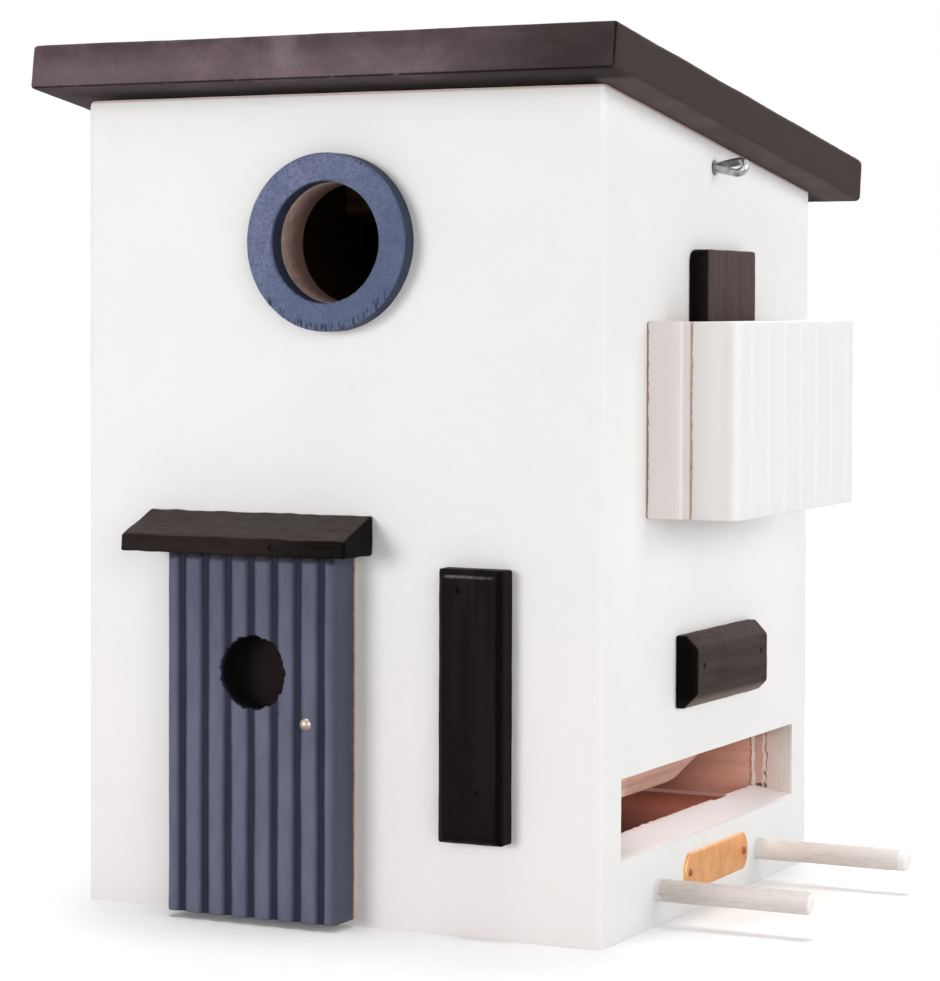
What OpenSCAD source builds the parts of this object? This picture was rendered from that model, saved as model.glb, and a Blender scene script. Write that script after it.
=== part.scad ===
// Small painted nest box in the shape of a white villa, with a feeding slot in one side.
// Millimetres, +Z up, front wall towards -Y, feeding side towards +X.
// The origin is the centre of the underside.

/* [Body] */
// Width across the front wall
body_w = 154; // [130:1:190]
// Depth from the front wall to the back wall
body_d = 150.5; // [140:0.5:190]
// Height of the front wall at its outer face
front_h = 219.5; // [210:0.5:260]
// Fall of the roof towards the back, in degrees
roof_pitch = 8.25; // [4:0.25:12]
// Thickness of the wall boards
wall_t = 12; // [9:0.5:15]
// Thickness of the floor board, whose right edge is the sill of the slot
floor_t = 20.8; // [17:0.1:26]
// Radius of the painted upright corners
corner_r = 1.3; // [0.5:0.1:3]

/* [Roof] */
// Thickness of the roof board
roof_t = 12; // [8:0.5:18]
// Overhang of the roof past the side walls
eave_side = 8.5; // [4:0.5:9]
// Distance by which the roof sits to the right of the middle
roof_shift = 0.9; // [0:0.1:2]
// Overhang of the roof in front, along its slope
eave_front = 17; // [10:0.5:40]
// Overhang of the roof behind, along its slope
eave_back = 18.5; // [10:0.5:40]
// Depth of the locating battens, front to back
batten_w = 14; // [8:1:20]
// Drop of the locating battens below the roof board
batten_h = 10; // [6:0.5:12]
// Clearance of the battens to the walls that they drop between
batten_gap = 2; // [1:0.5:4]
// Gap left by the paint between the roof board and the tops of the walls
roof_gap = 0.1; // [0.05:0.05:0.5]

/* [Entrance] */
// Diameter of the entrance hole
entrance_d = 32; // [26:0.5:34]
// Height of the front wall's top above the hole's centre
entrance_drop = 39.3; // [30:0.1:60]
// Distance of the entrance's centre to the left of the middle of the front wall
entrance_shift = 0.5; // [0:0.1:20]
// Outer diameter of the ring round the hole
ring_d = 46; // [42:0.5:56]
// Thickness of the ring
ring_t = 6; // [3:0.5:10]
// Rounding of the ring's outer front edge
ring_round = 1.2; // [0.5:0.1:2]

/* [Door] */
// Width of the ribbed door board
door_w = 50.5; // [40:0.5:60]
// Thickness of the ribbed door board
door_t = 12; // [8:0.5:14]
// Height of the door's lower edge above the ground
door_z = 1.8; // [0.5:0.1:6]
// Distance of the door's centre line to the left of the middle of the front wall
door_shift = 19.1; // [10:0.1:30]
// Number of grooves in the door board
door_grooves = 7; // [3:1:9]
// Distance of the outer grooves from the door's edges
door_rib_edge = 4.25; // [3:0.05:8]
// Width of a groove at the surface
groove_w = 3.8; // [2:0.1:4.4]
// Depth of a groove
groove_h = 1.1; // [0.5:0.1:2]
// Rounding of the door board's upright edges
door_r = 2; // [0.5:0.1:3]
// Diameter of the blind porthole in the door
porthole_d = 19.5; // [12:0.5:24]
// Thickness of wood left behind the porthole
porthole_back = 3; // [2:0.5:5]
// Height of the porthole's centre above the door's lower edge
porthole_z = 65; // [50:0.5:75]
// Distance of the porthole's centre to the right of the door's centre line
porthole_shift = 0.6; // [-3:0.1:3]
// Height of the knob above the door's lower edge
knob_z = 52.2; // [30:0.1:70]
// Distance of the knob from the door's right edge
knob_inset = 8.6; // [5:0.1:12]
// Diameter of the knob's head
knob_d = 3.4; // [2.4:0.1:6]
// Height of the knob's dome
knob_h = 0.8; // [0.5:0.1:1.1]

/* [Canopy] */
// Height of the canopy's underside above the ground, which is the door's upper edge
canopy_z = 98; // [94:0.5:110]
// Width of the canopy
canopy_w = 67.2; // [62:0.1:74]
// Depth of the canopy from the wall
canopy_d = 16; // [14.5:0.5:30]
// Height of the canopy at the wall
canopy_back_h = 10.6; // [8:0.1:16]
// Height of the canopy at its front edge
canopy_front_h = 4.3; // [4:0.1:7]
// Distance of the canopy's centre to the left of the middle of the front wall
canopy_shift = 22.3; // [15:0.1:30]
// Distance of the canopy's nail to the right of the canopy's centre
canopy_nail_shift = 11.8; // [0:0.1:25]

/* [Windows] */
// Width of the front window strip
window_w = 18.8; // [12:0.1:24]
// Height of the front window strip
window_h = 70.8; // [50:0.1:90]
// Thickness of the front window strip
window_t = 6.5; // [4:0.1:9]
// Bevel along the front window strip's edges
window_bevel = 1.9; // [0.5:0.1:2.5]
// Bevel at the front window strip's ends
window_end_bevel = 1.5; // [0.5:0.1:2.5]
// Height of the front window strip's lower edge above the ground
window_z = 25.1; // [10:0.1:40]
// Distance of the front window strip's centre to the right of the middle
window_shift = 42.2; // [36:0.1:48]
// Distance of the upper nail below the front window strip's top
window_nail_drop = 5.3; // [4:0.1:12]
// Height of the lower nail above the front window strip's lower edge
window_nail_rise = 13.5; // [4:0.1:20]
// Distance of the front window strip's nails to either side of its middle
window_nail_side = 2.8; // [0:0.1:4]
// Length of the side window bar
bar_l = 54.2; // [40:0.1:80]
// Height of the side window bar
bar_h = 19.5; // [14:0.1:22]
// Thickness of the side window bar
bar_t = 6; // [4:0.1:8]
// Bevel along the side window bar's long edges
bar_bevel = 3.7; // [1:0.1:3.8]
// Height of the side window bar's lower edge above the slot
bar_rise = 14.2; // [10:0.1:20]
// Distance of the side window bar's middle behind the right wall's middle
bar_shift = 0.3; // [-10:0.1:10]
// Distance of the side window bar's nails from its ends
bar_nail_edge = 5.7; // [4:0.1:12]
// Height of the side window bar's nails above its lower edge
bar_nail_rise = 11.3; // [5:0.1:12]

/* [Balcony] */
// Length of the balcony along the right wall
balcony_l = 92.7; // [76:0.1:100]
// Height of the balcony's front board
balcony_h = 51.4; // [35:0.1:60]
// Height of the balcony's underside above the ground
balcony_z = 108.2; // [104:0.1:120]
// Thickness of the two cheeks, and their reach out from the wall
cheek_t = 12.3; // [8:0.1:14]
// Thickness of the ribbed front board
rail_board_t = 13.2; // [8:0.1:16]
// Rounding of the ribbed front board's upright edges
rail_board_r = 4; // [0.5:0.1:5]
// Number of grooves in the balcony's front board
balcony_grooves = 7; // [3:1:9]
// Distance of the outer grooves from the balcony's ends
balcony_rib_edge = 9.6; // [5:0.1:14]
// Distance of the balcony's middle in front of the right wall's middle
balcony_shift = 1.4; // [-4:0.1:4]
// Distance of the balcony door's middle behind the right wall's middle
balcony_door_shift = 1.4; // [-4:0.1:4]
// Width of the balcony door strip
balcony_door_w = 38.6; // [24:0.1:44]
// Distance of the balcony door strip's top below the roof board
balcony_door_drop = 29.4; // [18:0.1:40]
// Thickness of the balcony door strip
balcony_door_t = 4.6; // [3:0.1:6]
// Radius of the balcony door strip's corners
balcony_door_r = 2.5; // [0.5:0.1:4]

/* [Feeding side] */
// Height of the feeding slot
slot_h = 21.3; // [16:0.1:24]
// Diameter of the perches
perch_d = 6; // [5:0.1:8]
// Reach of the front perch out from the wall
perch_front_l = 42.8; // [30:0.1:60]
// Reach of the back perch out from the wall
perch_back_l = 45; // [30:0.1:60]
// Depth of the perches' sockets
perch_socket = 14; // [8:0.5:20]
// Room between a perch's end and the bottom of its socket
perch_short = 0.5; // [0.2:0.1:1]
// Chamfer of the perches' tips
perch_tip = 0.8; // [0.3:0.1:1.5]
// Distance between the perches
perch_gap = 73.7; // [66:0.1:90]
// Distance of the pair of perches in front of the right wall's middle
perch_shift = 1.9; // [-4:0.1:4]
// Height of the perches' centres above the ground
perch_z = 9.7; // [6:0.1:12]
// Length of the name plate
plate_l = 46.4; // [30:0.1:50]
// Height of the name plate
plate_h = 10.2; // [8:0.1:12]
// Thickness of the name plate
plate_t = 0.8; // [0.5:0.1:1.5]
// Bulge of the name plate's ends
plate_bulge = 3.2; // [1:0.1:4]
// Distance of the name plate's middle behind the right wall's middle
plate_shift = 2.4; // [-4:0.1:4]
// Height of the name plate's middle above the sill's middle
plate_rise = 0.6; // [-2:0.1:2]

/* [Nest floor] */
// Width of the two rails that carry the nest floor
rail_w = 10; // [6:0.5:14]
// Drop of the rails below the slot's upper edge
rail_drop = 9.5; // [4:0.5:10]
// Height of the rails above the slot's upper edge
rail_rise = 8; // [6:0.5:10]
// Distance behind the wall's middle at which the right rail's lower edge starts to rise
rail_cut_start = 0.6; // [-20:0.1:10]
// Distance from the right rail's far end at which its lower edge has risen
rail_cut_end = 21.5; // [10:0.1:40]
// Height of the right rail's risen lower edge above the slot's upper edge
rail_cut_rise = 1; // [0.5:0.1:3]
// Thickness of the nest floor
nest_floor_t = 9; // [6:0.5:12]
// Clearance round the nest floor
nest_floor_gap = 1; // [0.5:0.1:2]

/* [Fixings] */
// Radius of the thin finishing nails
brad_r = 0.7; // [0.5:0.05:1]
// Bite of the finishing nails in the board behind
brad_bite = 7; // [5:0.5:7]
// Depth to which finishing nails are set below the surface
brad_set = 0.6; // [0.3:0.1:1]
// Radius of the wall nails
nail_r = 0.9; // [0.7:0.05:1.2]
// Length of the wall nails
nail_l = 32; // [24:1:40]
// Cover of filler and paint over the wall nails
nail_cover = 1.5; // [1:0.1:2.5]
// Height of the lowest wall nail above the slot's upper edge
nail_low = 28; // [10:1:40]
// Height from one wall nail to the next
nail_step = 49; // [20:1:50]
// Number of wall nails up each corner
nail_count = 3; // [2:1:3]
// Distance of the rails' nails from the rails' ends
rail_nail_edge = 19; // [10:1:40]
// Distance of the battens' nails from the inner side walls
batten_nail_edge = 26; // [10:1:40]
// Bite of the name plate's pins in the sill
pin_bite = 8; // [5:0.5:12]
// Diameter of the name plate's pins' heads
pin_head_d = 2.2; // [1.8:0.1:3]
// Height of the name plate's pins' heads
pin_head_h = 0.55; // [0.3:0.05:0.8]
// Radial clearance of nails and dowels in their holes
fit = 0.05; // [0.02:0.01:0.08]
// Wood left behind the canopy's nail
nail_stop = 2.5; // [1:0.5:4]
// Diameter of the split pins that carry the hanging wire, across their two closed legs
pin_d = 2.8; // [2:0.1:3]
// Inner radius of the split pins' eyes
pin_eye_r = 1.55; // [1:0.05:1.8]
// Reach of the split pins' eyes out from the wall
pin_reach = 9.8; // [8.5:0.1:12]
// Diameter of the split pins' holes
pin_hole_d = 4.2; // [3.8:0.1:5]
// Distance of the split pins below the roof board
pin_drop = 7; // [6:0.1:12]
// Turn of the split pins about their own legs, in degrees
pin_turn = 32; // [0:1:90]
// Angle at which a split pin's strands open towards its eye
pin_slant = 14; // [12:0.5:20]
// Clearance of the split pins' bent legs under the roof board
pin_leg_gap = 1; // [0.5:0.1:1.5]
// Inner radius of the bend in the legs
pin_bend_r = 0.6; // [0.4:0.1:1]

/* [Hidden] */
$fn = 64;

// Outer and inner faces of the body
x_out = body_w / 2;
y_out = body_d / 2;
x_in = x_out - wall_t;
y_in = y_out - wall_t;

// Heights of the walls' tops and of the roof board's underside at a depth y
function wall_top(y) = front_h - (y + y_out) * tan(roof_pitch);
function under_roof(y) = wall_top(y) + roof_gap;

// Feeding slot and what stands on its upper edge
slot_z = floor_t;
slot_top = slot_z + slot_h;
rail_z = slot_top - rail_drop;
nest_floor_z = slot_top + rail_rise;

// Entrance, door, canopy and window positions on the front wall
entrance_z = front_h - entrance_drop;
door_x = -door_shift;
door_h = canopy_z - door_z;
knob_x = door_x + door_w / 2 - knob_inset;
canopy_x = -canopy_shift;
window_x = window_shift;

// Balcony and bar positions on the right wall
bar_z = slot_top + bar_rise;
balcony_x = x_out + cheek_t;
balcony_y0 = -balcony_shift - balcony_l / 2;
balcony_door_h = under_roof(0) - balcony_door_drop - balcony_z;
plate_z = floor_t / 2 + plate_rise;

// Split pins, halfway along the side walls
pin_z = under_roof(0) - pin_drop;
pin_bend_y = pin_d / 2 + pin_bend_r;
pin_eye_x = pin_reach - pin_eye_r - pin_d / 2;
pin_mouth_x = pin_eye_x - (pin_eye_r + pin_bend_y * (1 - cos(pin_slant))) / sin(pin_slant);

// Length of a leg that is bent open against the inner wall and ends just under the slope of the roof
function pin_rise(along, across) =
    along * (cos(pin_turn) + sin(pin_turn) * tan(roof_pitch))
    + across * (sin(pin_turn) + cos(pin_turn) * tan(roof_pitch));
pin_leg = (pin_drop - pin_leg_gap - pin_rise(0, pin_d / 2)) / pin_rise(1, 0) - pin_bend_y;

// The strips' nails are all alike
brad_l = bar_t + brad_bite;

// Holes are cut this much past a face, and parts of one outline lap by the other
over = 1;
lap = 0.01;

// A split pin's bends are this much slimmer than its eye, and its straight lengths than its bends
pin_slack = 0.03;

// Colours
white = [0.94, 0.94, 0.93];
raw_wood = [0.72, 0.52, 0.38];
roof_black = [0.17, 0.14, 0.14];
trim_black = [0.14, 0.12, 0.12];
grey_blue = [0.36, 0.40, 0.52];
dowel_grey = [0.82, 0.78, 0.75];
copper = [0.85, 0.55, 0.38];
zinc = [0.75, 0.76, 0.78];
steel = [0.55, 0.55, 0.56];

// A wall board standing between two depths, from z0 up to the slope of the walls' tops
module sloped_board(x0, x1, y0, y1, z0) {
    side = [[y0, z0], [y1, z0], [y1, wall_top(y1)], [y0, wall_top(y0)]];
    translate([x0, 0, 0])
        rotate([90, 0, 90])
            linear_extrude(x1 - x0)
                polygon(side);
}

// Rectangle about the origin with round corners
module round_rect(w, d, r) {
    square([w - 2 * r, d], center = true);
    square([w, d - 2 * r], center = true);
    for (sx = [-1, 1], sy = [-1, 1])
        translate([sx * (w / 2 - r), sy * (d / 2 - r)])
            circle(r);
}

// Outline of the body with its four upright corners rounded
module body_outline() {
    linear_extrude(front_h + over)
        round_rect(body_w, body_d, corner_r);
}

// Plan of a ribbed board: back on y = 0, grooves in the face at y = -t, front corners of radius r
module ribbed_plan(w, t, r, count, edge) {
    pitch = (w - 2 * edge) / (count - 1);
    difference() {
        union() {
            translate([-w / 2, r - t])
                square([w, t - r]);
            translate([r - w / 2, -t])
                square([w - 2 * r, r + lap]);
            for (s = [-1, 1])
                translate([s * (w / 2 - r), r - t])
                    circle(r);
        }
        for (i = [0:count - 1])
            translate([(i - (count - 1) / 2) * pitch, -t])
                polygon([[-groove_w / 2, -lap], [groove_w / 2, -lap], [0, groove_h]]);
    }
}

// Cross-section of a strip lying on y = 0 with its two front edges bevelled
module bevelled_profile(w, t, bevel) {
    polygon([
        [-w / 2, 0], [w / 2, 0], [w / 2, bevel - t],
        [w / 2 - bevel, -t], [bevel - w / 2, -t], [-w / 2, bevel - t]
    ]);
}

// Upright strip whose ends are bevelled too
module bevelled_strip(w, h, t, bevel, end_bevel) {
    intersection() {
        translate([0, 0, -over])
            linear_extrude(h + 2 * over)
                bevelled_profile(w, t, bevel);
        translate([-w / 2 - over, 0, 0])
            rotate([90, 0, 90])
                linear_extrude(w + 2 * over)
                    polygon([
                        [0, 0], [0, h], [end_bevel - t, h],
                        [-t, h - end_bevel], [-t, end_bevel], [end_bevel - t, 0]
                    ]);
    }
}

// A nail pointing along +Y from its head at the origin, with a short blunt point
module nail(r, l, gap = 0) {
    tip = 2 * r;
    blunt = r / 3;
    rotate([-90, 0, 0]) {
        cylinder(h = l - tip, r = r + gap);
        translate([0, 0, l - tip])
            cylinder(h = tip, r1 = r + gap, r2 = blunt + gap);
    }
}

// A domed head standing on z = 0
module dome(d, h) {
    ball_r = (d * d / 4 + h * h) / (2 * h);
    intersection() {
        translate([0, 0, h - ball_r])
            sphere(ball_r);
        cylinder(h = h + lap, d = d + over);
    }
}

// Mirror in the plane y = 0 where the side is -1
module mirrored_y(side) {
    if (side > 0)
        children();
    else
        mirror([0, 1, 0])
            children();
}

// Wall nails: through the front and back walls into the side walls and the floor
module wall_nail_set(gap = 0) {
    nail_x = x_out - wall_t / 2;
    for (front = [1, -1])
        mirrored_y(front)
            translate([0, nail_cover - y_out, 0]) {
                for (s = [-1, 1], i = [0:nail_count - 1])
                    translate([s * nail_x, 0, slot_top + nail_low + i * nail_step])
                        nail(nail_r, nail_l, gap);
                for (s = [-1, 1])
                    translate([s * x_in / 2, 0, floor_t / 2])
                        nail(nail_r, nail_l, gap);
            }
}

// Finishing nails of the two window strips
module trim_brad_set(gap = 0, extra = 0) {
    for (p = [[-window_nail_side, window_h - window_nail_drop], [window_nail_side, window_nail_rise]])
        translate([window_x + p[0], -y_out - window_t + brad_set - extra, window_z + p[1]])
            nail(brad_r, brad_l + extra, gap);
    for (s = [-1, 1])
        translate([x_out + bar_t - brad_set + extra, bar_shift + s * (bar_l / 2 - bar_nail_edge),
                   bar_z + bar_nail_rise])
            rotate([0, 0, 90])
                nail(brad_r, brad_l + extra, gap);
}

// The longer finishing nail through the canopy
module canopy_brad_shape(gap = 0, extra = 0) {
    long = canopy_d + wall_t - nail_stop - brad_set;
    translate([canopy_x + canopy_nail_shift, -y_out - canopy_d + brad_set - extra,
               canopy_z + canopy_front_h / 2])
        nail(brad_r, long + extra, gap);
}

// Nails that hold the two rails to the side walls
module rail_nail_set(gap = 0) {
    for (s = [-1, 1], f = [-1, 1])
        translate([s * (x_in - rail_w), f * (y_in - rail_nail_edge), slot_top + rail_rise / 2])
            rotate([0, 0, -90 * s])
                nail(brad_r, rail_w + brad_bite, gap);
}

// Nails that hold the two battens up to the roof board
module batten_nail_set(gap = 0) {
    for (s = [-1, 1], f = [-1, 1]) {
        y = f * (y_in - batten_gap - batten_w / 2);
        translate([s * (x_in - batten_nail_edge), y, under_roof(y) - batten_h])
            rotate([90, 0, 0])
                nail(brad_r, batten_h + brad_bite, gap);
    }
}

// Knob: a round-headed nail in the door
module knob_shank(gap = 0) {
    translate([knob_x, -y_out - door_t, door_z + knob_z])
        nail(brad_r, door_t + wall_t / 2, gap);
}

// A perch, which stops just short of its socket's end and has a chamfered tip
module perch(y, reach) {
    straight = perch_socket + reach - perch_tip - perch_short;
    translate([x_out - perch_socket + perch_short, y, perch_z])
        rotate([0, 90, 0]) {
            cylinder(h = straight, d = perch_d);
            translate([0, 0, straight])
                cylinder(h = perch_tip, d1 = perch_d, d2 = perch_d - 2 * perch_tip);
        }
}

// Sockets of the perches in the sill
module perch_sockets() {
    for (s = [-1, 1])
        translate([x_out - perch_socket, s * perch_gap / 2 - perch_shift, perch_z])
            rotate([0, 90, 0])
                cylinder(h = perch_socket + over, r = perch_d / 2 + fit);
}

// Pins of the name plate
module plate_pin_set(gap = 0) {
    for (s = [-1, 1])
        translate([x_out + plate_t, plate_shift + s * (plate_l / 2 - plate_bulge), plate_z])
            rotate([0, 0, 90])
                nail(brad_r, pin_bite + plate_t, gap);
}

// Hole of the right wall's split pin
module pin_hole() {
    translate([x_in - over, 0, pin_z])
        rotate([0, 90, 0])
            cylinder(h = wall_t + 2 * over, d = pin_hole_d);
}

// Section of a leg: a half disc with its flat side on x = 0, made slimmer all round by slack
module half_disc(slack = 0) {
    intersection() {
        circle(pin_d / 2 - slack);
        translate([slack, -pin_d])
            square([pin_d, 2 * pin_d]);
    }
}

// Straight half-round piece along X with its flat side on y = 0
module pin_straight(length) {
    rotate([0, 90, 0])
        rotate([0, 0, 90])
            linear_extrude(length)
                half_disc(2 * pin_slack);
}

// Bend with the flat side outwards
module pin_bend(angle) {
    rotate_extrude(angle = angle)
        translate([pin_bend_y, 0])
            mirror([1, 0])
                half_disc(pin_slack);
}

// Upper leg of a split pin with its axis along X and the wall's outer face at x = 0
module pin_half() {
    strand_l = (pin_eye_x - pin_mouth_x) * cos(pin_slant) - pin_bend_y * sin(pin_slant);
    bend_x = pin_bend_r - fit - wall_t;
    // Slanting strand between the eye and the mouth of the hole
    translate([pin_mouth_x, pin_bend_y, 0])
        rotate([0, 0, pin_slant])
            translate([-lap, -pin_bend_y, 0])
                pin_straight(strand_l + 2 * lap);
    translate([pin_mouth_x, pin_bend_y, 0])
        rotate([0, 0, -90])
            pin_bend(pin_slant);
    // Leg through the wall, its bend, and its open end
    translate([bend_x - lap, 0, 0])
        pin_straight(pin_mouth_x - bend_x + 2 * lap);
    translate([bend_x, pin_bend_y, 0])
        rotate([0, 0, 180])
            pin_bend(90);
    translate([bend_x - pin_bend_y, pin_bend_y - lap, 0])
        rotate([-90, 0, 0])
            linear_extrude(pin_leg + lap)
                half_disc(2 * pin_slack);
}

module split_pin() {
    translate([x_out, 0, pin_z])
        rotate([90 - pin_turn, 0, 0]) {
            translate([pin_eye_x, 0, 0])
                rotate([0, 0, -90 - pin_slant])
                    rotate_extrude(angle = 180 + 2 * pin_slant)
                        translate([pin_eye_r, 0])
                            half_disc();
            for (side = [1, -1])
                mirrored_y(side)
                    pin_half();
        }
}

// Boards of the body
module front_wall() {
    color(white)
        difference() {
            intersection() {
                sloped_board(-x_out, x_out, -y_out, -y_in, 0);
                body_outline();
            }
            translate([-entrance_shift, over - y_in, entrance_z])
                rotate([90, 0, 0])
                    cylinder(h = wall_t + 2 * over, d = entrance_d);
            wall_nail_set(fit);
            trim_brad_set(fit);
            canopy_brad_shape(fit);
            knob_shank(fit);
        }
}

module back_wall() {
    color(white)
        difference() {
            intersection() {
                sloped_board(-x_out, x_out, y_in, y_out, 0);
                body_outline();
            }
            wall_nail_set(fit);
        }
}

module left_wall() {
    color(white)
        difference() {
            sloped_board(-x_out, -x_in, -y_in, y_in, 0);
            wall_nail_set(fit);
            rail_nail_set(fit);
            mirror([1, 0, 0])
                pin_hole();
        }
}

module right_wall() {
    color(white)
        difference() {
            sloped_board(x_in, x_out, -y_in, y_in, slot_top);
            wall_nail_set(fit);
            rail_nail_set(fit);
            trim_brad_set(fit);
            pin_hole();
        }
}

module floor_board() {
    color(raw_wood)
        difference() {
            translate([-x_in, -y_in, 0])
                cube([x_in + x_out, 2 * y_in, floor_t]);
            wall_nail_set(fit);
            perch_sockets();
            plate_pin_set(fit);
        }
}

// Rails that carry the nest floor; the right one has its far lower corner cut away
module rail_left() {
    color(raw_wood)
        difference() {
            translate([-x_in, -y_in, rail_z])
                cube([rail_w, 2 * y_in, rail_drop + rail_rise]);
            rail_nail_set(fit);
        }
}

module rail_right() {
    low_end = y_in - rail_cut_end;
    risen_z = slot_top + rail_cut_rise;
    color(raw_wood)
        difference() {
            translate([x_in - rail_w, 0, 0])
                rotate([90, 0, 90])
                    linear_extrude(rail_w)
                        polygon([
                            [-y_in, rail_z], [rail_cut_start, rail_z], [low_end, risen_z],
                            [y_in, risen_z], [y_in, nest_floor_z], [-y_in, nest_floor_z]
                        ]);
            rail_nail_set(fit);
        }
}

module nest_floor() {
    color(raw_wood)
        translate([nest_floor_gap - x_in, nest_floor_gap - y_in, nest_floor_z])
            cube([2 * (x_in - nest_floor_gap), 2 * (y_in - nest_floor_gap), nest_floor_t]);
}

// Roof and its locating battens
module roof_board() {
    slope_l = body_d / cos(roof_pitch) + eave_front + eave_back;
    color(roof_black)
        difference() {
            translate([roof_shift - x_out - eave_side, -y_out, under_roof(-y_out)])
                rotate([-roof_pitch, 0, 0])
                    translate([0, -eave_front, 0])
                        cube([body_w + 2 * eave_side, slope_l, roof_t]);
            batten_nail_set(fit);
        }
}

module roof_batten(y0) {
    y1 = y0 + batten_w;
    color(raw_wood)
        difference() {
            translate([batten_gap - x_in, 0, 0])
                rotate([90, 0, 90])
                    linear_extrude(2 * (x_in - batten_gap))
                        polygon([
                            [y0, under_roof(y0) - batten_h], [y1, under_roof(y1) - batten_h],
                            [y1, under_roof(y1)], [y0, under_roof(y0)]
                        ]);
            batten_nail_set(fit);
        }
}

module roof_batten_front() {
    roof_batten(batten_gap - y_in);
}

module roof_batten_back() {
    roof_batten(y_in - batten_gap - batten_w);
}

// Ring round the entrance hole
module entrance_ring() {
    ring_w = (ring_d - entrance_d) / 2;
    color(grey_blue)
        translate([-entrance_shift, -y_out, entrance_z])
            rotate([90, 0, 0])
                rotate_extrude()
                    translate([entrance_d / 2, 0]) {
                        square([ring_w, ring_t - ring_round]);
                        square([ring_w - ring_round, ring_t]);
                        translate([ring_w - ring_round, ring_t - ring_round])
                            circle(ring_round);
                    }
}

// Door board with its blind porthole
module door_panel() {
    color(grey_blue)
        difference() {
            translate([door_x, -y_out, door_z])
                linear_extrude(door_h)
                    ribbed_plan(door_w, door_t, door_r, door_grooves, door_rib_edge);
            translate([door_x + porthole_shift, -y_out - porthole_back, door_z + porthole_z])
                rotate([90, 0, 0])
                    cylinder(h = door_t, d = porthole_d);
            knob_shank(fit);
        }
}

module door_knob() {
    color(zinc) {
        knob_shank();
        translate([knob_x, -y_out - door_t, door_z + knob_z])
            rotate([90, 0, 0])
                dome(knob_d, knob_h);
    }
}

module door_canopy() {
    color(trim_black)
        difference() {
            translate([canopy_x - canopy_w / 2, -y_out, canopy_z])
                rotate([90, 0, 90])
                    linear_extrude(canopy_w)
                        polygon([
                            [0, 0], [0, canopy_back_h],
                            [-canopy_d, canopy_front_h], [-canopy_d, 0]
                        ]);
            canopy_brad_shape(fit, over);
        }
}

// Window strips
module front_window() {
    color(trim_black)
        difference() {
            translate([window_x, -y_out, window_z])
                bevelled_strip(window_w, window_h, window_t, window_bevel, window_end_bevel);
            trim_brad_set(fit, over);
        }
}

module side_window() {
    color(trim_black)
        difference() {
            translate([x_out, bar_shift + bar_l / 2, bar_z + bar_h / 2])
                rotate([90, 0, 0])
                    linear_extrude(bar_l)
                        rotate([0, 0, 90])
                            bevelled_profile(bar_h, bar_t, bar_bevel);
            trim_brad_set(fit, over);
        }
}

// Balcony
module balcony_door() {
    color(trim_black)
        translate([x_out, balcony_door_shift, balcony_z + balcony_door_h / 2])
            rotate([90, 0, 90])
                linear_extrude(balcony_door_t)
                    round_rect(balcony_door_w, balcony_door_h, balcony_door_r);
}

module balcony_cheek(y0) {
    color(white)
        translate([x_out, y0, balcony_z])
            cube([cheek_t, cheek_t, balcony_h]);
}

module balcony_cheek_front() {
    balcony_cheek(balcony_y0);
}

module balcony_cheek_back() {
    balcony_cheek(balcony_y0 + balcony_l - cheek_t);
}

module balcony_front() {
    color(white)
        translate([balcony_x, balcony_y0 + balcony_l / 2, balcony_z])
            rotate([0, 0, 90])
                linear_extrude(balcony_h)
                    ribbed_plan(balcony_l, rail_board_t, rail_board_r,
                                balcony_grooves, balcony_rib_edge);
}

// Perches, plate and split pins
module perch_front() {
    color(dowel_grey)
        perch(-perch_gap / 2 - perch_shift, perch_front_l);
}

module perch_back() {
    color(dowel_grey)
        perch(perch_gap / 2 - perch_shift, perch_back_l);
}

module name_plate() {
    end_r = (pow(plate_h / 2, 2) + pow(plate_bulge, 2)) / (2 * plate_bulge);
    color(copper)
        difference() {
            translate([x_out, plate_shift, plate_z])
                rotate([90, 0, 90])
                    linear_extrude(plate_t)
                        intersection() {
                            square([plate_l + over, plate_h], center = true);
                            union() {
                                square([plate_l - 2 * plate_bulge, plate_h], center = true);
                                for (s = [-1, 1])
                                    translate([s * (plate_l / 2 - end_r), 0])
                                        circle(end_r);
                            }
                        }
            plate_pin_set(fit);
        }
}

module plate_pins() {
    color(copper) {
        plate_pin_set();
        for (s = [-1, 1])
            translate([x_out + plate_t, plate_shift + s * (plate_l / 2 - plate_bulge), plate_z])
                rotate([0, 90, 0])
                    dome(pin_head_d, pin_head_h);
    }
}

module split_pin_right() {
    color(zinc)
        split_pin();
}

module split_pin_left() {
    color(zinc)
        mirror([1, 0, 0])
            split_pin();
}

// Nails
module wall_nails() {
    color(steel)
        wall_nail_set();
}

module rail_nails() {
    color(steel)
        rail_nail_set();
}

module batten_nails() {
    color(steel)
        batten_nail_set();
}

module trim_brads() {
    color(steel)
        trim_brad_set();
}

module canopy_brad() {
    color(steel)
        canopy_brad_shape();
}

front_wall();
back_wall();
left_wall();
right_wall();
floor_board();
rail_left();
rail_right();
nest_floor();
roof_board();
roof_batten_front();
roof_batten_back();
entrance_ring();
door_panel();
door_knob();
door_canopy();
front_window();
side_window();
balcony_door();
balcony_cheek_front();
balcony_cheek_back();
balcony_front();
perch_front();
perch_back();
name_plate();
plate_pins();
split_pin_right();
split_pin_left();
wall_nails();
rail_nails();
batten_nails();
trim_brads();
canopy_brad();
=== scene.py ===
# %% [markdown]
# # A painted villa for small birds
# A small wooden nest box, painted like a white house with a dark sloping roof. Its boards, nails and
# dowels are already measured and packed as a fixed frame, in metres, with the front wall towards -Y,
# the feeding side towards +X and Z up. This script gives every board its softened edges, every groove
# its lips and every surface its paint. Where a real board sits a little off its measured place, the
# cell that makes it moves or lengthens it by less than 2 mm.

# %% Load the measured frame
import math

import bmesh
import bpy
import numpy as np
from mathutils import Matrix, Vector


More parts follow.
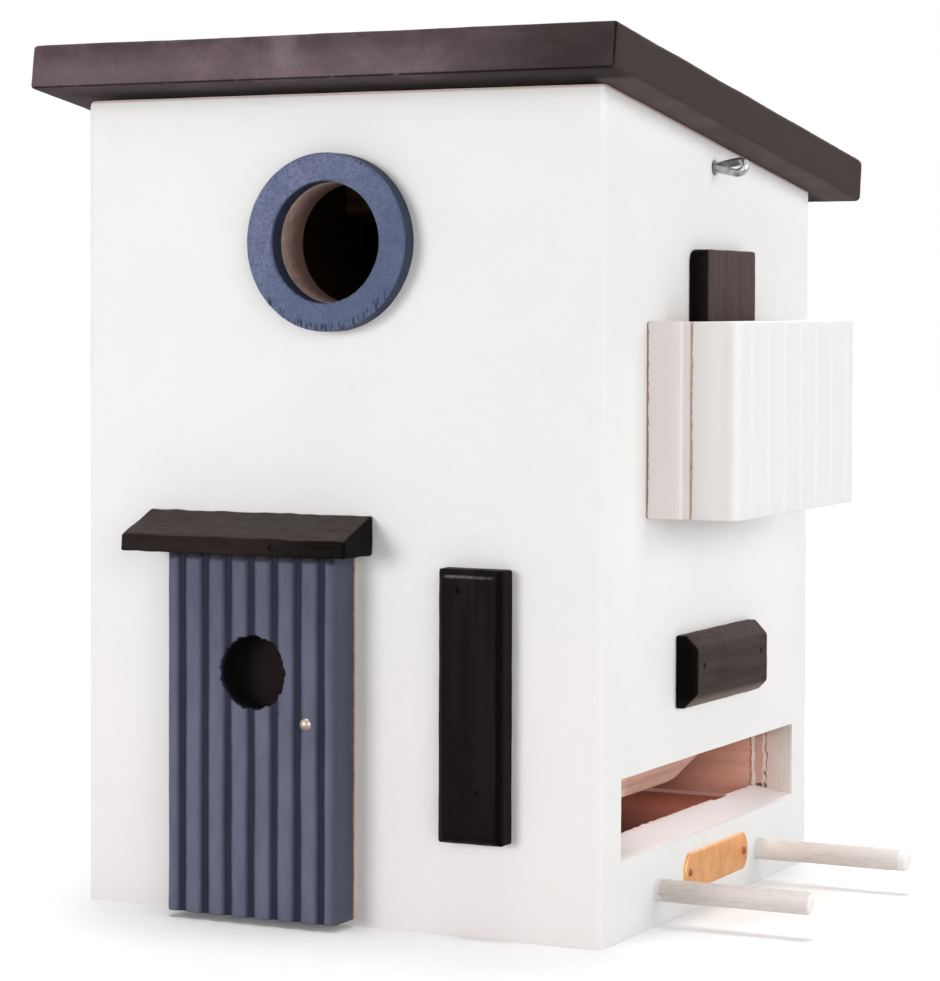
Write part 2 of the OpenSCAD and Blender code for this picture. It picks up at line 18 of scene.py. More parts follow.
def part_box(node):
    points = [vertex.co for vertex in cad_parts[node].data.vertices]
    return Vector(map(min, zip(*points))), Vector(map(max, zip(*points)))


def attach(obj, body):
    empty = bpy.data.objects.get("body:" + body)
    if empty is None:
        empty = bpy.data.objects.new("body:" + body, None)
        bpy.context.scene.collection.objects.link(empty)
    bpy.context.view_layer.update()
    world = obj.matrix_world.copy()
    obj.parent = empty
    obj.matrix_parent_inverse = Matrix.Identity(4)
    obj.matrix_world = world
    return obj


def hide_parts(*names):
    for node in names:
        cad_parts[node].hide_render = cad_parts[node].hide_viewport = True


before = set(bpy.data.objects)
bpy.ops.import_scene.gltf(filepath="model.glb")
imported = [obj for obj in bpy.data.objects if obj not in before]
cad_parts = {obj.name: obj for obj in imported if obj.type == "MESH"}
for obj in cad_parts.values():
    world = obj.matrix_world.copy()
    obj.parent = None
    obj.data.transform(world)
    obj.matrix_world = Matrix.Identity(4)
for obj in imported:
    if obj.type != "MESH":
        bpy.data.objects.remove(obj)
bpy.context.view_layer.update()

MM = 0.001


def add_object(name, data):
    """An object for a mesh, a lamp or a camera, linked to the scene."""
    made = bpy.data.objects.new(name, data)
    bpy.context.scene.collection.objects.link(made)
    return made


# %% [markdown]
# ## The camera
# A long lens stands a little below half the height of the house, turned so that the front and the
# feeding side both show. A camera looks along its own -Z with +Y up, so its matrix is made of its
# right, up and backward directions. A small shift frames the house without tilting the lens, which
# keeps upright edges upright.

# %% Place the camera
def camera_directions(yaw, fall, roll):
    """Right, up and forward of a camera that is turned by yaw, looks down by fall and leans by roll."""
    forward = Vector((-math.sin(yaw) * math.cos(fall), math.cos(yaw) * math.cos(fall), -math.sin(fall)))
    level = Vector((math.cos(yaw), math.sin(yaw), 0))
    above = level.cross(forward)
    right = math.cos(roll) * level + math.sin(roll) * above
    up = -math.sin(roll) * level + math.cos(roll) * above
    return right, up, forward


lens = bpy.data.cameras.new("villa_camera")
lens.sensor_fit = "HORIZONTAL"
lens.sensor_width = 36
lens.lens = 120.5
lens.shift_x = 0.05378
lens.shift_y = -0.09866
camera = add_object("villa_camera", lens)
right, up, forward = camera_directions(math.radians(26.878), math.radians(1.456), math.radians(0.153))
camera.matrix_world = (Matrix.Translation(Vector((394.42, -804.70, 160.42)) * MM)
                       @ Matrix((right, up, -forward)).transposed().to_4x4())
bpy.context.scene.camera = camera
bpy.context.scene.view_settings.view_transform = "Standard"
print("camera at", tuple(round(c, 4) for c in camera.matrix_world.translation))

# %% [markdown]
# ## Numbers that can be added and multiplied inside a material
# A finish is a small sum that Blender works out at every point: how far up the wall, how close to the
# raw edge, how rough the grain. Wiring each sum by hand hides the idea, so one class wraps a shader
# number and lets Python's own signs add the Math nodes. Colours go through Mix nodes instead, because
# a Math node would turn them grey.

# %% Shader numbers
class Num:
    """A number in a node tree; arithmetic on it adds Math nodes."""

    def __init__(self, graph, socket):
        self.graph = graph
        self.socket = socket

    def __add__(self, other):
        return self.graph.math("ADD", self, other)

    def __sub__(self, other):
        return self.graph.math("SUBTRACT", self, other)

    def __rsub__(self, other):
        return self.graph.math("SUBTRACT", other, self)

    def __mul__(self, other):
        return self.graph.math("MULTIPLY", self, other)

    def __abs__(self):
        return self.graph.math("ABSOLUTE", self)

    __radd__ = __add__
    __rmul__ = __mul__

    def larger(self, other):
        """The larger of two numbers, which lays one mask over another."""
        return self.graph.math("MAXIMUM", self, other)

    def over(self, low, high):
        """0 below low, 1 above high and a smooth rise between; swapped bounds make it fall."""
        settings = {"interpolation_type": "SMOOTHSTEP"}
        return self.graph.number("ShaderNodeMapRange", settings, {0: self, 1: low, 2: high})

    def within(self, low, high, soft):
        """1 between low and high, falling to 0 over soft outside them."""
        return self.over(low - soft, low) * self.over(high + soft, high)


print("shader numbers take + - * abs, larger, over and within")

# %% [markdown]
# ## One finish, one class
# Each finish starts from the Principled shader. Values that are the same all over the piece are set
# on the shader itself, and only what changes from point to point is wired to it. Every pattern reads
# the Object coordinates in millimetres, so that the grain has its real size and stays on the board
# when the roof is lifted. A paint is laid as it is on the real wood: a ground colour first, then
# coats, each with a number that says where and how thickly it covers.

# %% Node trees and the finish builder
class Graph:
    """The node tree of a material or of the world, emptied down to its output node."""

    def __init__(self, owner, output):
        owner.use_nodes = True
        self.tree = owner.node_tree
        self.tree.nodes.clear()
        self.surface = self.node(output).inputs["Surface"]

    def feed(self, socket, value):
        """Links a number or a socket to an input, or sets it to a plain value."""
        if isinstance(value, Num):
            value = value.socket
        if isinstance(value, bpy.types.NodeSocket):
            self.tree.links.new(value, socket)
        elif isinstance(value, tuple) and len(value) == 3 and socket.type == "RGBA":
            socket.default_value = (*value, 1)
        else:
            socket.default_value = value

    def node(self, kind, settings=None, sockets=None):
        """Any node: its settings first, then the values or links of its sockets."""
        made = self.tree.nodes.new(kind)
        for key, value in (settings or {}).items():
            setattr(made, key, value)
        for key, value in (sockets or {}).items():
            self.feed(made.inputs[key.replace("_", " ") if isinstance(key, str) else key], value)
        return made

    def number(self, kind, settings, sockets):
        return Num(self, self.node(kind, settings, sockets).outputs[0])

    def math(self, operation, *values):
        return self.number("ShaderNodeMath", {"operation": operation}, dict(enumerate(values)))

    def vector(self, operation, *values, **sockets):
        sockets.update(enumerate(values))
        return self.node("ShaderNodeVectorMath", {"operation": operation}, sockets).outputs[0]

    def mix(self, factor, low, high):
        """Colour low where the factor is 0 and high where it is 1."""
        return self.node("ShaderNodeMix", {"data_type": "RGBA"}, {0: factor, 6: low, 7: high}).outputs[2]

    def coats(self, tone, *layers):
        """A tone under coats of colour, each given as (how much it covers, colour)."""
        for cover, colour in layers:
            tone = self.mix(cover, tone, colour)
        return tone


class Finish(Graph):
    """A material on the Principled shader, with position, noise and coats in millimetres."""

    def __init__(self, name, **shader):
        self.material = bpy.data.materials.new(name)
        super().__init__(self.material, "ShaderNodeOutputMaterial")
        self.shader = self.node("ShaderNodeBsdfPrincipled", {}, shader)
        self.feed(self.surface, self.shader.outputs[0])
        place = self.node("ShaderNodeTexCoord").outputs["Object"]
        self.place = self.vector("SCALE", place, Scale=1 / MM)
        parts = self.node("ShaderNodeSeparateXYZ", {}, {0: self.place})
        self.x, self.y, self.z = (Num(self, socket) for socket in parts.outputs)

    def noise(self, size, detail=2, rough=0.5, shift=0.0):
        """Soft noise from 0 to 1 around 0.5, whose features measure size along x, y and z."""
        size = (size, size, size) if isinstance(size, (int, float)) else size
        scaled = self.vector("MULTIPLY", self.place, tuple(1 / s for s in size))
        moved = self.vector("ADD", scaled, (shift, 1.7 * shift, 2.3 * shift))
        return self.number("ShaderNodeTexNoise", {}, {
            "Vector": moved, "Scale": 1, "Detail": detail, "Roughness": rough})

    def done(self, tone, rough, height):
        """The material, with its colour, its roughness and a height in millimetres wired up."""
        bump = self.node("ShaderNodeBump", {}, {"Strength": 1, "Distance": MM, "Height": height})
        values = {"Base Color": tone, "Roughness": rough, "Normal": bump.outputs[0]}
        for key, value in values.items():
            self.feed(self.shader.inputs[key], value)
        return self.material


print("finish builder ready")

# %% [markdown]
# ## Floor and light
# The house stands on a plain white floor in a white studio. Broad, low lights level the two big
# walls, one from the left of the front and one from the right, so that the eaves throw almost no
# shadow on them. One straight above lights the floor, and weaker ones fill the corner and the back.
# The white of the background comes from what camera and gloss rays see, not from stronger lamps, so
# that a paint renders about as it is mixed.

# %% Light the studio
def soft_light(name, azimuth, height, level, spread):
    """A broad light that shines from an azimuth (0 is the front, 90 the feeding side) and a height."""
    lamp = bpy.data.lights.new(name, "SUN")
    lamp.energy = level
    lamp.angle = math.radians(spread)
    turn = math.radians(azimuth)
    lift = math.radians(height)
    toward = Vector((math.sin(turn) * math.cos(lift), -math.cos(turn) * math.cos(lift), math.sin(lift)))
    add_object(name, lamp).matrix_world = toward.to_track_quat("Z", "Y").to_matrix().to_4x4()


for light in (("front_light", -26, 6, 1.66, 26), ("side_light", 95, 12, 1.39, 36),
              ("corner_light", 44, 13, 0.72, 34), ("top_light", 0, 88, 1.7, 25),
              ("back_light", 195, 30, 1.2, 60)):
    soft_light(*light)

world = bpy.data.worlds.new("white_studio")
bpy.context.scene.world = world
sky = Graph(world, "ShaderNodeOutputWorld")
rays = sky.node("ShaderNodeLightPath").outputs
seen = sky.math("MAXIMUM", rays["Is Camera Ray"], rays["Is Glossy Ray"])
strength = sky.number("ShaderNodeMapRange", {}, {"Value": seen, "To_Min": 0.16, "To_Max": 1.0})
white = sky.node("ShaderNodeBackground", {}, {"Color": (1, 1, 1), "Strength": strength})
sky.feed(sky.surface, white.outputs[0])

ground = Finish("studio_floor", Roughness=0.9, Specular_IOR_Level=0.1, Emission_Strength=1)
seen = Num(ground, ground.node("ShaderNodeLightPath").outputs["Is Camera Ray"])
ground.feed(ground.shader.inputs["Base Color"], ground.mix(seen, (0.65, 0.65, 0.65), (0.95, 0.95, 0.95)))
ground.feed(ground.shader.inputs["Emission Color"], ground.mix(seen, (0, 0, 0), (0.08, 0.08, 0.08)))
FLOOR_REACH = 6.0
floor_mesh = bpy.data.meshes.new("studio_floor")
floor_corners = [(FLOOR_REACH * x, FLOOR_REACH * y, 0) for x, y in ((-1, -1), (1, -1), (1, 1), (-1, 1))]
floor_mesh.from_pydata(floor_corners, [], [(0, 1, 2, 3)])
floor_mesh.materials.append(ground.material)
add_object("studio_floor", floor_mesh)
print("studio lit by", len(bpy.data.lights), "lights")

# %% [markdown]
# ## A bench to work each piece on
# Boards are easier to shape lying on a bench: u runs along the board, v across it or up it, and w
# out of the wall towards the viewer. A Place holds those three directions, and seat() takes a board's
# own corner and size from the frame, so that no size is typed twice.

# %% Places and seats
X, Y, Z = np.eye(3)
FRONT = (X, Z)
RIGHT = (Y, Z)
LEFT = (-Y, Z)
BACK = (-X, Z)
FLAT = (X, Y)


class Place:
    """An origin with directions u, v and w, where w points out of the surface; all in millimetres."""

    def __init__(self, origin, u, v):
        self.origin = np.array(origin, float)
        self.axes = np.array([u, v, np.cross(u, v)])

    def moved(self, *shift):
        return Place(self.origin + np.array(shift) @ self.axes, self.axes[0], self.axes[1])

    def world(self, points):
        """Points given along u, v and w, as points of the frame in metres."""
        return (self.origin + points @ self.axes) * MM


def box(node):
    """Lowest and highest corner of a node in millimetres."""
    return np.array([list(corner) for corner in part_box(node)]) / MM


def seat(node, directions, shift=(0, 0, 0), more=(0, 0, 0)):
    """A node's lowest corner along u, v and w as a Place, moved by shift, and its size, plus more."""
    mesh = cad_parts[node].data
    flat = np.zeros(len(mesh.vertices) * 3, np.float32)
    mesh.vertices.foreach_get("co", flat)
    place = Place((0, 0, 0), *directions)
    local = flat.reshape(-1, 3).astype(float) / MM @ place.axes.T
    return place.moved(*(local.min(0) + shift)), local.max(0) - local.min(0) + more


(left_x, front_y, _), (_, front_inner, eaves_high) = box("front_wall")
(_, back_inner, _), (right_x, back_y, back_high) = box("back_wall")
wall_thick = front_inner - front_y
pitch = math.atan2(eaves_high - back_high, back_inner - front_y)
slope = math.tan(pitch)
ROOF = (X, np.array([0, math.cos(pitch), -math.sin(pitch)]))
floor_top = box("floor_board")[1, 2]
slot_top = box("right_wall")[0, 2]
print("walls", round(wall_thick, 2), "mm, roof falls", round(math.degrees(pitch), 2), "degrees")

# %% [markdown]
# ## A little light in the slot
# On the real house the bright surroundings throw light into the feeding slot, which broad studio
# lights hardly reach. A small, weak area light under the slot's upper edge, hidden from the camera,
# stands in for it, so that the sill stays bright and the tray behind it can be made out.

# %% Light the slot
SIDE_GAP, END_GAP, TOP_GAP = 2, 11, 1
slot_lamp = bpy.data.lights.new("slot_light", "AREA")
slot_lamp.shape = "RECTANGLE"
slot_lamp.size = (wall_thick - 2 * SIDE_GAP) * MM
slot_lamp.size_y = (back_inner - front_inner - 2 * END_GAP) * MM
slot_lamp.energy = 0.0104
slot_light = add_object("slot_light", slot_lamp)
slot_light.location = Vector((right_x - wall_thick / 2, 0, slot_top - TOP_GAP)) * MM
slot_light.visible_camera = False
print("slot light hangs at", round(slot_top - TOP_GAP, 1), "mm")

# %% [markdown]
# ## Surfaces from grids
# Every board is a set of grids of points, worked out as whole arrays: six faces for a block, one for
# a turned ring. The grids share their border points, which are merged later, so that the skin is
# closed. A planed board is never razor-sharp: its edges are rounded by pushing each point to one
# radius from a smaller sharp block inside it.

# %% Skins and blocks
class Skin:
    """Grids of points that make one closed surface."""

    def __init__(self):
        self.grids = []
        self.faces = []
        self.count = 0

    def add(self, grid, flip=False, around=False):
        """A grid of points (rows, columns, 3), seen from outside with rows to the right and columns up;
        around joins the last column to the first."""
        rows, columns = grid.shape[:2]
        index = self.count + np.arange(rows * columns).reshape(rows, columns)
        if around:
            index = np.column_stack([index, index[:, :1]])
        loops = [index[:-1, :-1], index[1:, :-1], index[1:, 1:], index[:-1, 1:]]
        quads = np.stack([loop.ravel() for loop in loops], axis=1)
        self.grids.append(grid.reshape(-1, 3))
        self.faces.append(quads[:, ::-1] if flip else quads)
        self.count += rows * columns
        return self

    def wrap(self, rows):
        """Rows of points that run anticlockwise round the skin or down into a hole in it."""
        return self.add(rows, flip=True, around=True)

    def points(self):
        """All points of the skin, grid after grid."""
        return np.concatenate(self.grids)

    def quads(self):
        """All faces, each as four numbers of points."""
        return np.concatenate(self.faces)


def lines(high, radius, step, bands):
    """Grid lines along one edge of a block: even angles over the rounding at both ends, even steps
    between, and each band (start, end, count) cut into that many equal parts."""
    turn = radius * np.tan(np.linspace(0, math.pi / 4, 4))
    parts = [radius - turn, high - radius + turn]
    start = radius
    for begin, end, count in sorted(bands) + [(high - radius, high - radius, 1)]:
        if begin > start + 1e-6:
            parts.append(np.linspace(start, begin, 1 + math.ceil((begin - start) / step)))
        parts.append(np.linspace(begin, end, count + 1))
        start = end
    return np.unique(np.round(np.concatenate(parts), 6))


def block(size, radius, steps, bands=((), (), ())):
    """A rounded block with grid lines at the given steps. Each point is the nearest point of a block
    that is smaller by the radius, plus the radius towards the point."""
    edges = [lines(*edge) for edge in zip(size, (radius,) * 3, steps, bands)]
    low = np.full(3, radius)
    high = np.array([edge[-1] for edge in edges]) - radius
    skin = Skin()
    for axis in range(3):
        rows, columns = (axis + 1) % 3, (axis + 2) % 3
        for end in (0, -1):
            grid = np.empty((len(edges[rows]), len(edges[columns]), 3))
            grid[..., rows] = edges[rows][:, None]
            grid[..., columns] = edges[columns][None, :]
            grid[..., axis] = edges[axis][end]
            core = np.clip(grid, low, high)
            way = grid - core
            length = np.linalg.norm(way, axis=-1, keepdims=True)
            skin.add(core + way * radius / np.maximum(length, 1e-9), flip=end == 0)
    return skin


cube = block((10, 10, 10), 1, (3, 3, 3))
print("a 10 mm cube:", len(cube.points()), "points,", len(cube.quads()), "faces")

# %% [markdown]
# ## Holes, rims and turned shapes
# A round hole in a square grid needs a passage between the two. A square of the board's outer face
# stays open, and rows of points lead from its border to a circle, then over a rim into the hole. The
# entrance, the pins' holes, the porthole and the nail dents are all made so. Rings, nail heads and
# dowels are simpler: one profile, turned.

# %% Holes and turned shapes
INNER_FACE, OUTER_FACE = 4, 5  # where block() puts the faces at w = 0 and at the full thickness


def ring_rows(centre, half, count, profile, height):
    """Rows of points that lead from a square of the grid to a circle and then along a profile.
    The first rows slide from the square to the circle of the profile's first radius; then each
    profile entry (radius, height) is a circle. half is the square's half size along u and v."""
    side, one = np.linspace(-1, 1, count + 1)[:-1], np.ones(count)
    walk = ((side, -one), (one, side), (-side, one), (-one, -side))
    square = np.concatenate([np.stack(pair, axis=1) for pair in walk])
    half = np.array(half, float)
    circle = square / np.linalg.norm(square, axis=1, keepdims=True) * half / half[0]
    loops = [(square * half * (1 - share) + circle * profile[0][0] * share, height)
             for share in (0, 0.4, 0.75)]
    rows = stacked(loops + [(circle * radius, level) for radius, level in profile])
    rows[..., :2] += centre
    return rows


def stacked(loops):
    """Rows of points from loops (outline, height)."""
    return np.array([np.column_stack([loop, np.full(len(loop), height)]) for loop, height in loops])


def holed_block(size, radius, steps, centres, half, count, profile, bands=((), (), ()), through=False):
    """A rounded block with a hole at each centre (u, v) of its outer face. A square that reaches half
    to each side along u and v, cut into count cells a side, stays open, and rows of points lead from
    it along the profile (radius, height above the face). A hole that goes through ends in the same
    rim on the inner face."""
    middles = [sorted({centre[axis] for centre in centres}) for axis in (0, 1)]
    bands = [[*bands[axis], *((at - half[axis], at + half[axis], count) for at in middles[axis])]
             for axis in (0, 1)] + [bands[2]]
    skin = block(size, radius, steps, bands)
    corners = skin.points()
    for centre in centres:
        for face in (INNER_FACE, OUTER_FACE)[1 - through:]:
            middle = corners[skin.faces[face]].mean(axis=1)[:, :2]
            skin.faces[face] = skin.faces[face][(np.abs(middle - centre) > half).any(axis=1)]
        rim = [(r, size[2] + h) for r, h in profile]
        rows = ring_rows(centre, half, count, rim, size[2])
        if through:
            back = ring_rows(centre, half, count, [(r, -h) for r, h in profile], 0)
            rows = np.concatenate([rows, back[::-1]])
        skin.wrap(rows)
    return skin


def lip(radius, height, soft, inward=-1, turns=4):
    """Quarter-round from the surface at radius + soft down into a hole of the given radius."""
    angle = np.linspace(0, math.pi / 2, turns)
    return [(radius + soft * (1 - math.sin(a)), height + inward * soft * (1 - math.cos(a))) for a in angle]


def dome(radius, base, height, turns):
    """Profile of a nail's head from its rim to near its top: a cap of the sphere through the rim that
    rises by the height, whose radius is (radius^2 + height^2) / (2 height)."""
    ball = (radius ** 2 + height ** 2) / (2 * height)
    return [(r, base + math.sqrt(ball ** 2 - r ** 2) - (ball - height))
            for r in radius * np.cos(np.linspace(0, math.pi / 2, turns))[:-1]]


def turned(profile, count, wobble=None):
    """Rows of points of a shape turned about w: each profile entry is (radius, height)."""
    profile = np.array(profile, float)
    angle = np.linspace(0, 2 * math.pi, count, endpoint=False)
    radius = np.repeat(profile[:, :1], count, axis=1)
    height = np.repeat(profile[:, 1:], count, axis=1)
    if wobble is not None:
        radius = radius + wobble(angle[None, :], height) * (radius > 1e-6)
    return np.stack([radius * np.cos(angle), radius * np.sin(angle), height], axis=-1)


print("a 2 mm lip runs through", np.round(lip(16, 12, 2), 2).tolist())

# %% [markdown]
# ## Small irregularities
# Nothing cut by hand is quite straight. A sum of a few slow sine waves with fixed random directions
# moves a board's surface by a few hundredths of a millimetre, enough to bend the highlights. Rounded
# plans, bevels and grooves are made the same way, as a change of coordinates of the finished block.

# %% Changes of shape
def ripple(points, length, amount, seed):
    """Moves points by a sum of six sine waves of about the given length, each point by about amount."""
    draw = np.random.default_rng(seed)
    ways = draw.normal(size=(6, 3)) * 2 * math.pi / length
    phases = draw.uniform(0, 2 * math.pi, (6, 3))
    waves = np.sin((points @ ways.T)[:, :, None] + phases[None])
    return points + amount * waves.sum(axis=1) / 3


def round_plan(points, size, radius, across, along, both=True):
    """Rounds the edges where two axes meet: in each corner square the point (s, t) goes to
    (s root(1 - t^2/2), t root(1 - s^2/2)), which lays the square's outline on a circle."""
    middle = np.array(size, float) / 2
    out = points.copy()
    share = {}
    for axis in (across, along):
        away = points[:, axis] - middle[axis]
        beyond = np.clip((np.abs(away) - (middle[axis] - radius)) / radius, 0, 1)
        share[axis] = np.where((away > 0) | both | (axis == across), beyond, 0)
    for axis, other in ((across, along), (along, across)):
        pull = share[axis] * (1 - np.sqrt(1 - share[other] ** 2 / 2)) * radius
        out[:, axis] -= np.sign(points[:, axis] - middle[axis]) * pull
    return out


def grooves(points, centres, depth, thick, half=4.3 / 2):
    """Cuts soft valleys into the outer face: a cosine valley of the given half width at each centre,
    fading out halfway through the board so that the back stays flat."""
    away = np.abs(points[:, :1] - np.array(centres)[None, :]).min(axis=1)
    valley = np.where(away < half, 0.5 + 0.5 * np.cos(math.pi * np.minimum(away / half, 1)), 0)
    share = np.clip((points[:, 2] - thick / 2) / (thick / 2), 0, 1)
    out = points.copy()
    out[:, 2] -= depth * valley * share
    return out


def bevel(points, size, drops, soft):
    """Planes the outer face down to the edges across each (axis, reach) in drops: at a distance d from
    the edge it drops by reach - d, and the largest drop is taken softly, as soft times the logarithm
    of 1 + the sum of exp(drop / soft). The whole thickness shrinks by that share."""
    steep = sum(np.exp((reach - np.minimum(points[:, axis], size[axis] - points[:, axis])) / soft)
                for axis, reach in drops)
    out = points.copy()
    out[:, 2] *= (size[2] - soft * np.log1p(steep)) / size[2]
    return out


corner = round_plan(np.zeros((1, 3)), (10, 10, 10), 2, 0, 1)[0]
print("a 2 mm rounding draws a corner in by", corner[:2].round(2), "mm")

# %% [markdown]
# ## From bench to house
# A finished skin is welded, gets smooth shading with sharp creases, its finish and the body that it
# moves with, and then stands for its plain node. The number of open edges is printed, because a hole
# in a skin shows as a black seam.

# %% Fit a piece
WELD = 2e-6
SHARP = math.radians(38)
fitted = []


def fit(name, skin, place, finish, points=None, body="house"):
    """Makes the piece from its skin, in the frame's metres, and puts it in place of its node."""
    points = skin.points() if points is None else points
    mesh = bpy.data.meshes.new(name + "_piece")
    mesh.from_pydata(place.world(points).tolist(), [], skin.quads().tolist())
    work = bmesh.new()
    work.from_mesh(mesh)
    bmesh.ops.remove_doubles(work, verts=work.verts, dist=WELD)
    work.to_mesh(mesh)
    work.free()
    mesh.shade_smooth()
    mesh.set_sharp_from_angle(angle=SHARP)
    mesh.materials.append(finish)
    piece = add_object(name + "_piece", mesh)
    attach(piece, body)
    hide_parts(name)
    used = np.zeros(len(mesh.loops), int)
    mesh.loops.foreach_get("edge_index", used)
    open_edges = int((np.bincount(used, minlength=len(mesh.edges)) != 2).sum())
    fitted.append(name)
    print(name, len(mesh.polygons), "faces,", open_edges, "open edges")


def plain_board(name, directions, finish, radius=0.5, steps=10, change=None, body="house",
                bands=((), (), ())):
    """A rounded board in the place of its node, with an optional change of shape."""
    place, size = seat(name, directions)
    skin = block(size, radius, np.broadcast_to(steps, 3), bands)
    points = ripple(skin.points(), 45, 0.06, len(name))
    fit(name, skin, place, finish, change(points, size) if change else points, body)


# %% [markdown]
# ## White paint on the boards
# The walls have had a thick coat of white by brush and roller: a fine orange peel, faint upright
# strokes and a warmer, pinker foot. Light is painted into it too: painted shade towards the front's
# right end and along the walls' top edge under the roof, and painted light that lifts the eave's
# shadow on the feeding side. Paint only covers what shows outside, so the finish asks how close a
# point is to the body's outer faces, with a ragged border, and shows bare wood elsewhere, painted in
# shade deeper into the entrance.

# %% Wood and white paint
PINE = (0.50, 0.27, 0.15)
UPRIGHT = (1.6, 1.6, 26)


def wall_top(y):
    """Height of the walls' tops at a depth y."""
    return eaves_high - (y - front_y) * slope


def shaded(f, tone, shades):
    """Mixes in a colour between two positions on an axis, for each (axis, start, end, amount, colour)."""
    return f.coats(tone, *(((f.x, f.y, f.z)[axis].over(start, end) * amount, colour)
                           for axis, start, end, amount, colour in shades))


def bare_wood(f, grain, tint=PINE, shift=0.0, contrast=0.75):
    """Colour and height of raw pine whose grain runs along one axis, in dark fibres on paler bands."""
    def along(length, width):
        return tuple(length if g else width for g in grain)
    fibres = f.noise(along(22, 0.45), 4, 0.6, shift)
    bands = f.noise(along(90, 3.2), 3, 0.5, shift + 4)
    tone = f.coats(tint, (bands.over(0.3, 0.7), tuple(min(1, 1.45 * c) for c in tint)),
                   (fibres.over(0.52, 0.72) * contrast, tuple(0.45 * c for c in tint)))
    return tone, fibres * 0.12


def white_coat(f, strokes=UPRIGHT):
    """Colour and height of the white coat: brush strokes, orange peel, a few marks, a warmer foot, painted
    shade to the right and under the roof, and painted light on the eave's shadow.
    """
    brush = f.noise(strokes, 4, 0.6)
    peel = f.noise(0.9, 2, 0.5, 2.0)
    cloud = f.noise(38, 3, 0.5, 5.0)
    front = f.y.over(front_y + 1.2, front_y + 0.4)
    level = f.z + f.y * slope
    eave = wall_top(0)
    # painted shade along the walls' top edge under the roof, and painted light that lifts the eave's shadow
    # on the feeding side
    eave_crease_shade = level.over(eave - 0.9, eave - 0.3)
    eave_shadow_lift = level.over(eave - 16, eave - 5) * f.x.over(right_x - 2, right_x - 1)
    marks = f.noise(2.2, 2, 0.5, 9.0).over(0.76, 0.82)
    tone = f.coats(
        (0.875, 0.872, 0.862),
        (cloud.over(0.35, 0.7), (0.86, 0.853, 0.843)),
        # painted shade: the front is darker towards its right end
        (front * f.x.over(-70, 70) * 0.8, (0.83, 0.815, 0.81)),
        (f.z.over(120, 0) * front * (0.5 + 0.5 * cloud), (0.895, 0.83, 0.83)),
        (eave_crease_shade * 0.8, (0.62, 0.43, 0.41)),
        (eave_shadow_lift * (1 - eave_crease_shade) * 0.6, (0.95, 0.942, 0.938)),
        (marks * 0.12, (0.42, 0.36, 0.33)))
    return tone, brush * 0.05 + peel * 0.035


def coat_over_wood(wood, coat, mask):
    """Height where a coat 0.25 mm thick covers the wood."""
    return wood * (1 - mask) + (coat + 0.25) * mask


def painted_board(name, painted, grain, strokes=UPRIGHT, tint=PINE, shift=0.0, shades=(), raw_shades=(),
                  details=None):
    """White coat where painted(f) is 1 and bare wood where it is 0, with a raised ragged border. The
    shades tint the coat, the raw shades tint the wood, and details(f, coat) may change the coat."""
    f = Finish(name, Specular_IOR_Level=0.35)
    wood, wood_height = bare_wood(f, grain, tint, shift)
    coat, coat_height = white_coat(f, strokes)
    coat = shaded(f, coat, shades)
    if details:
        coat = details(f, coat)
    mask = painted(f)
    return f.done(f.mix(mask, shaded(f, wood, raw_shades), coat),
                  0.75 - 0.33 * mask + 0.12 * f.noise(6, 2, 0.5, shift + 7),
                  coat_over_wood(wood_height, coat_height, mask))


def outside(f):
    """1 on the body's outer faces and 0 more than 2.2 mm in, with a ragged border."""
    edge = (f.noise(2.2, 3, 0.6) - 0.5) * 1.6 * 2
    reach_x = (f.x - right_x).larger(left_x - f.x)
    reach_y = (f.y - back_y).larger(front_y - f.y)
    return (reach_x.larger(reach_y) + edge).over(-2.45, -1.95)


def square_of_distance(f, x, z):
    """Squared distance from an axis that runs from front to back at (x, z)."""
    away_x, away_z = f.x - x, f.z - z
    return away_x * away_x + away_z * away_z


entrance_x, _, entrance_z = box("entrance_ring").mean(axis=0)
# the entrance's bare wood is painted in shade, darker deeper into the hole
wall_paint = painted_board(
    "wall_paint", lambda f: outside(f) * square_of_distance(f, entrance_x, entrance_z).over(330, 350),
    X, tint=(0.47, 0.335, 0.29), raw_shades=[(1, front_y, front_y + 9, 0.85, (0.20, 0.105, 0.08))])
# the side walls' bare inner wood is tinted dark, as painted shade of the closed box
side_paint = painted_board("side_paint", outside, Y, tint=(0.2, 0.11, 0.07), shift=11.0)
print("entrance at", round(entrance_x, 2), round(entrance_z, 2), "mm; its rim stays bare under the ring")

# %% [markdown]
# ## The back wall's inner face
# Through the slot one sees the inside of the back wall: raw wood, a brushed line where the paint
# stopped, a cracked ridge beside it, and the thinly painted end of the wall, whose coat is painted in
# a warm shade that darkens further in. Shade is painted on the wood as well: darker away from the
# slot, nearly black inside the box, a dark line just inside the brushed line as its shadow, and the
# shadow of a small gap at the foot of the crack. The lines are measured inwards from the right side,
# and they fade out above the slot, where no brush reached.

# %% Back wall's paint
SILL_RISE, FLOOR_DROP = 2.6, 1.8
raw_floor = floor_top - FLOOR_DROP


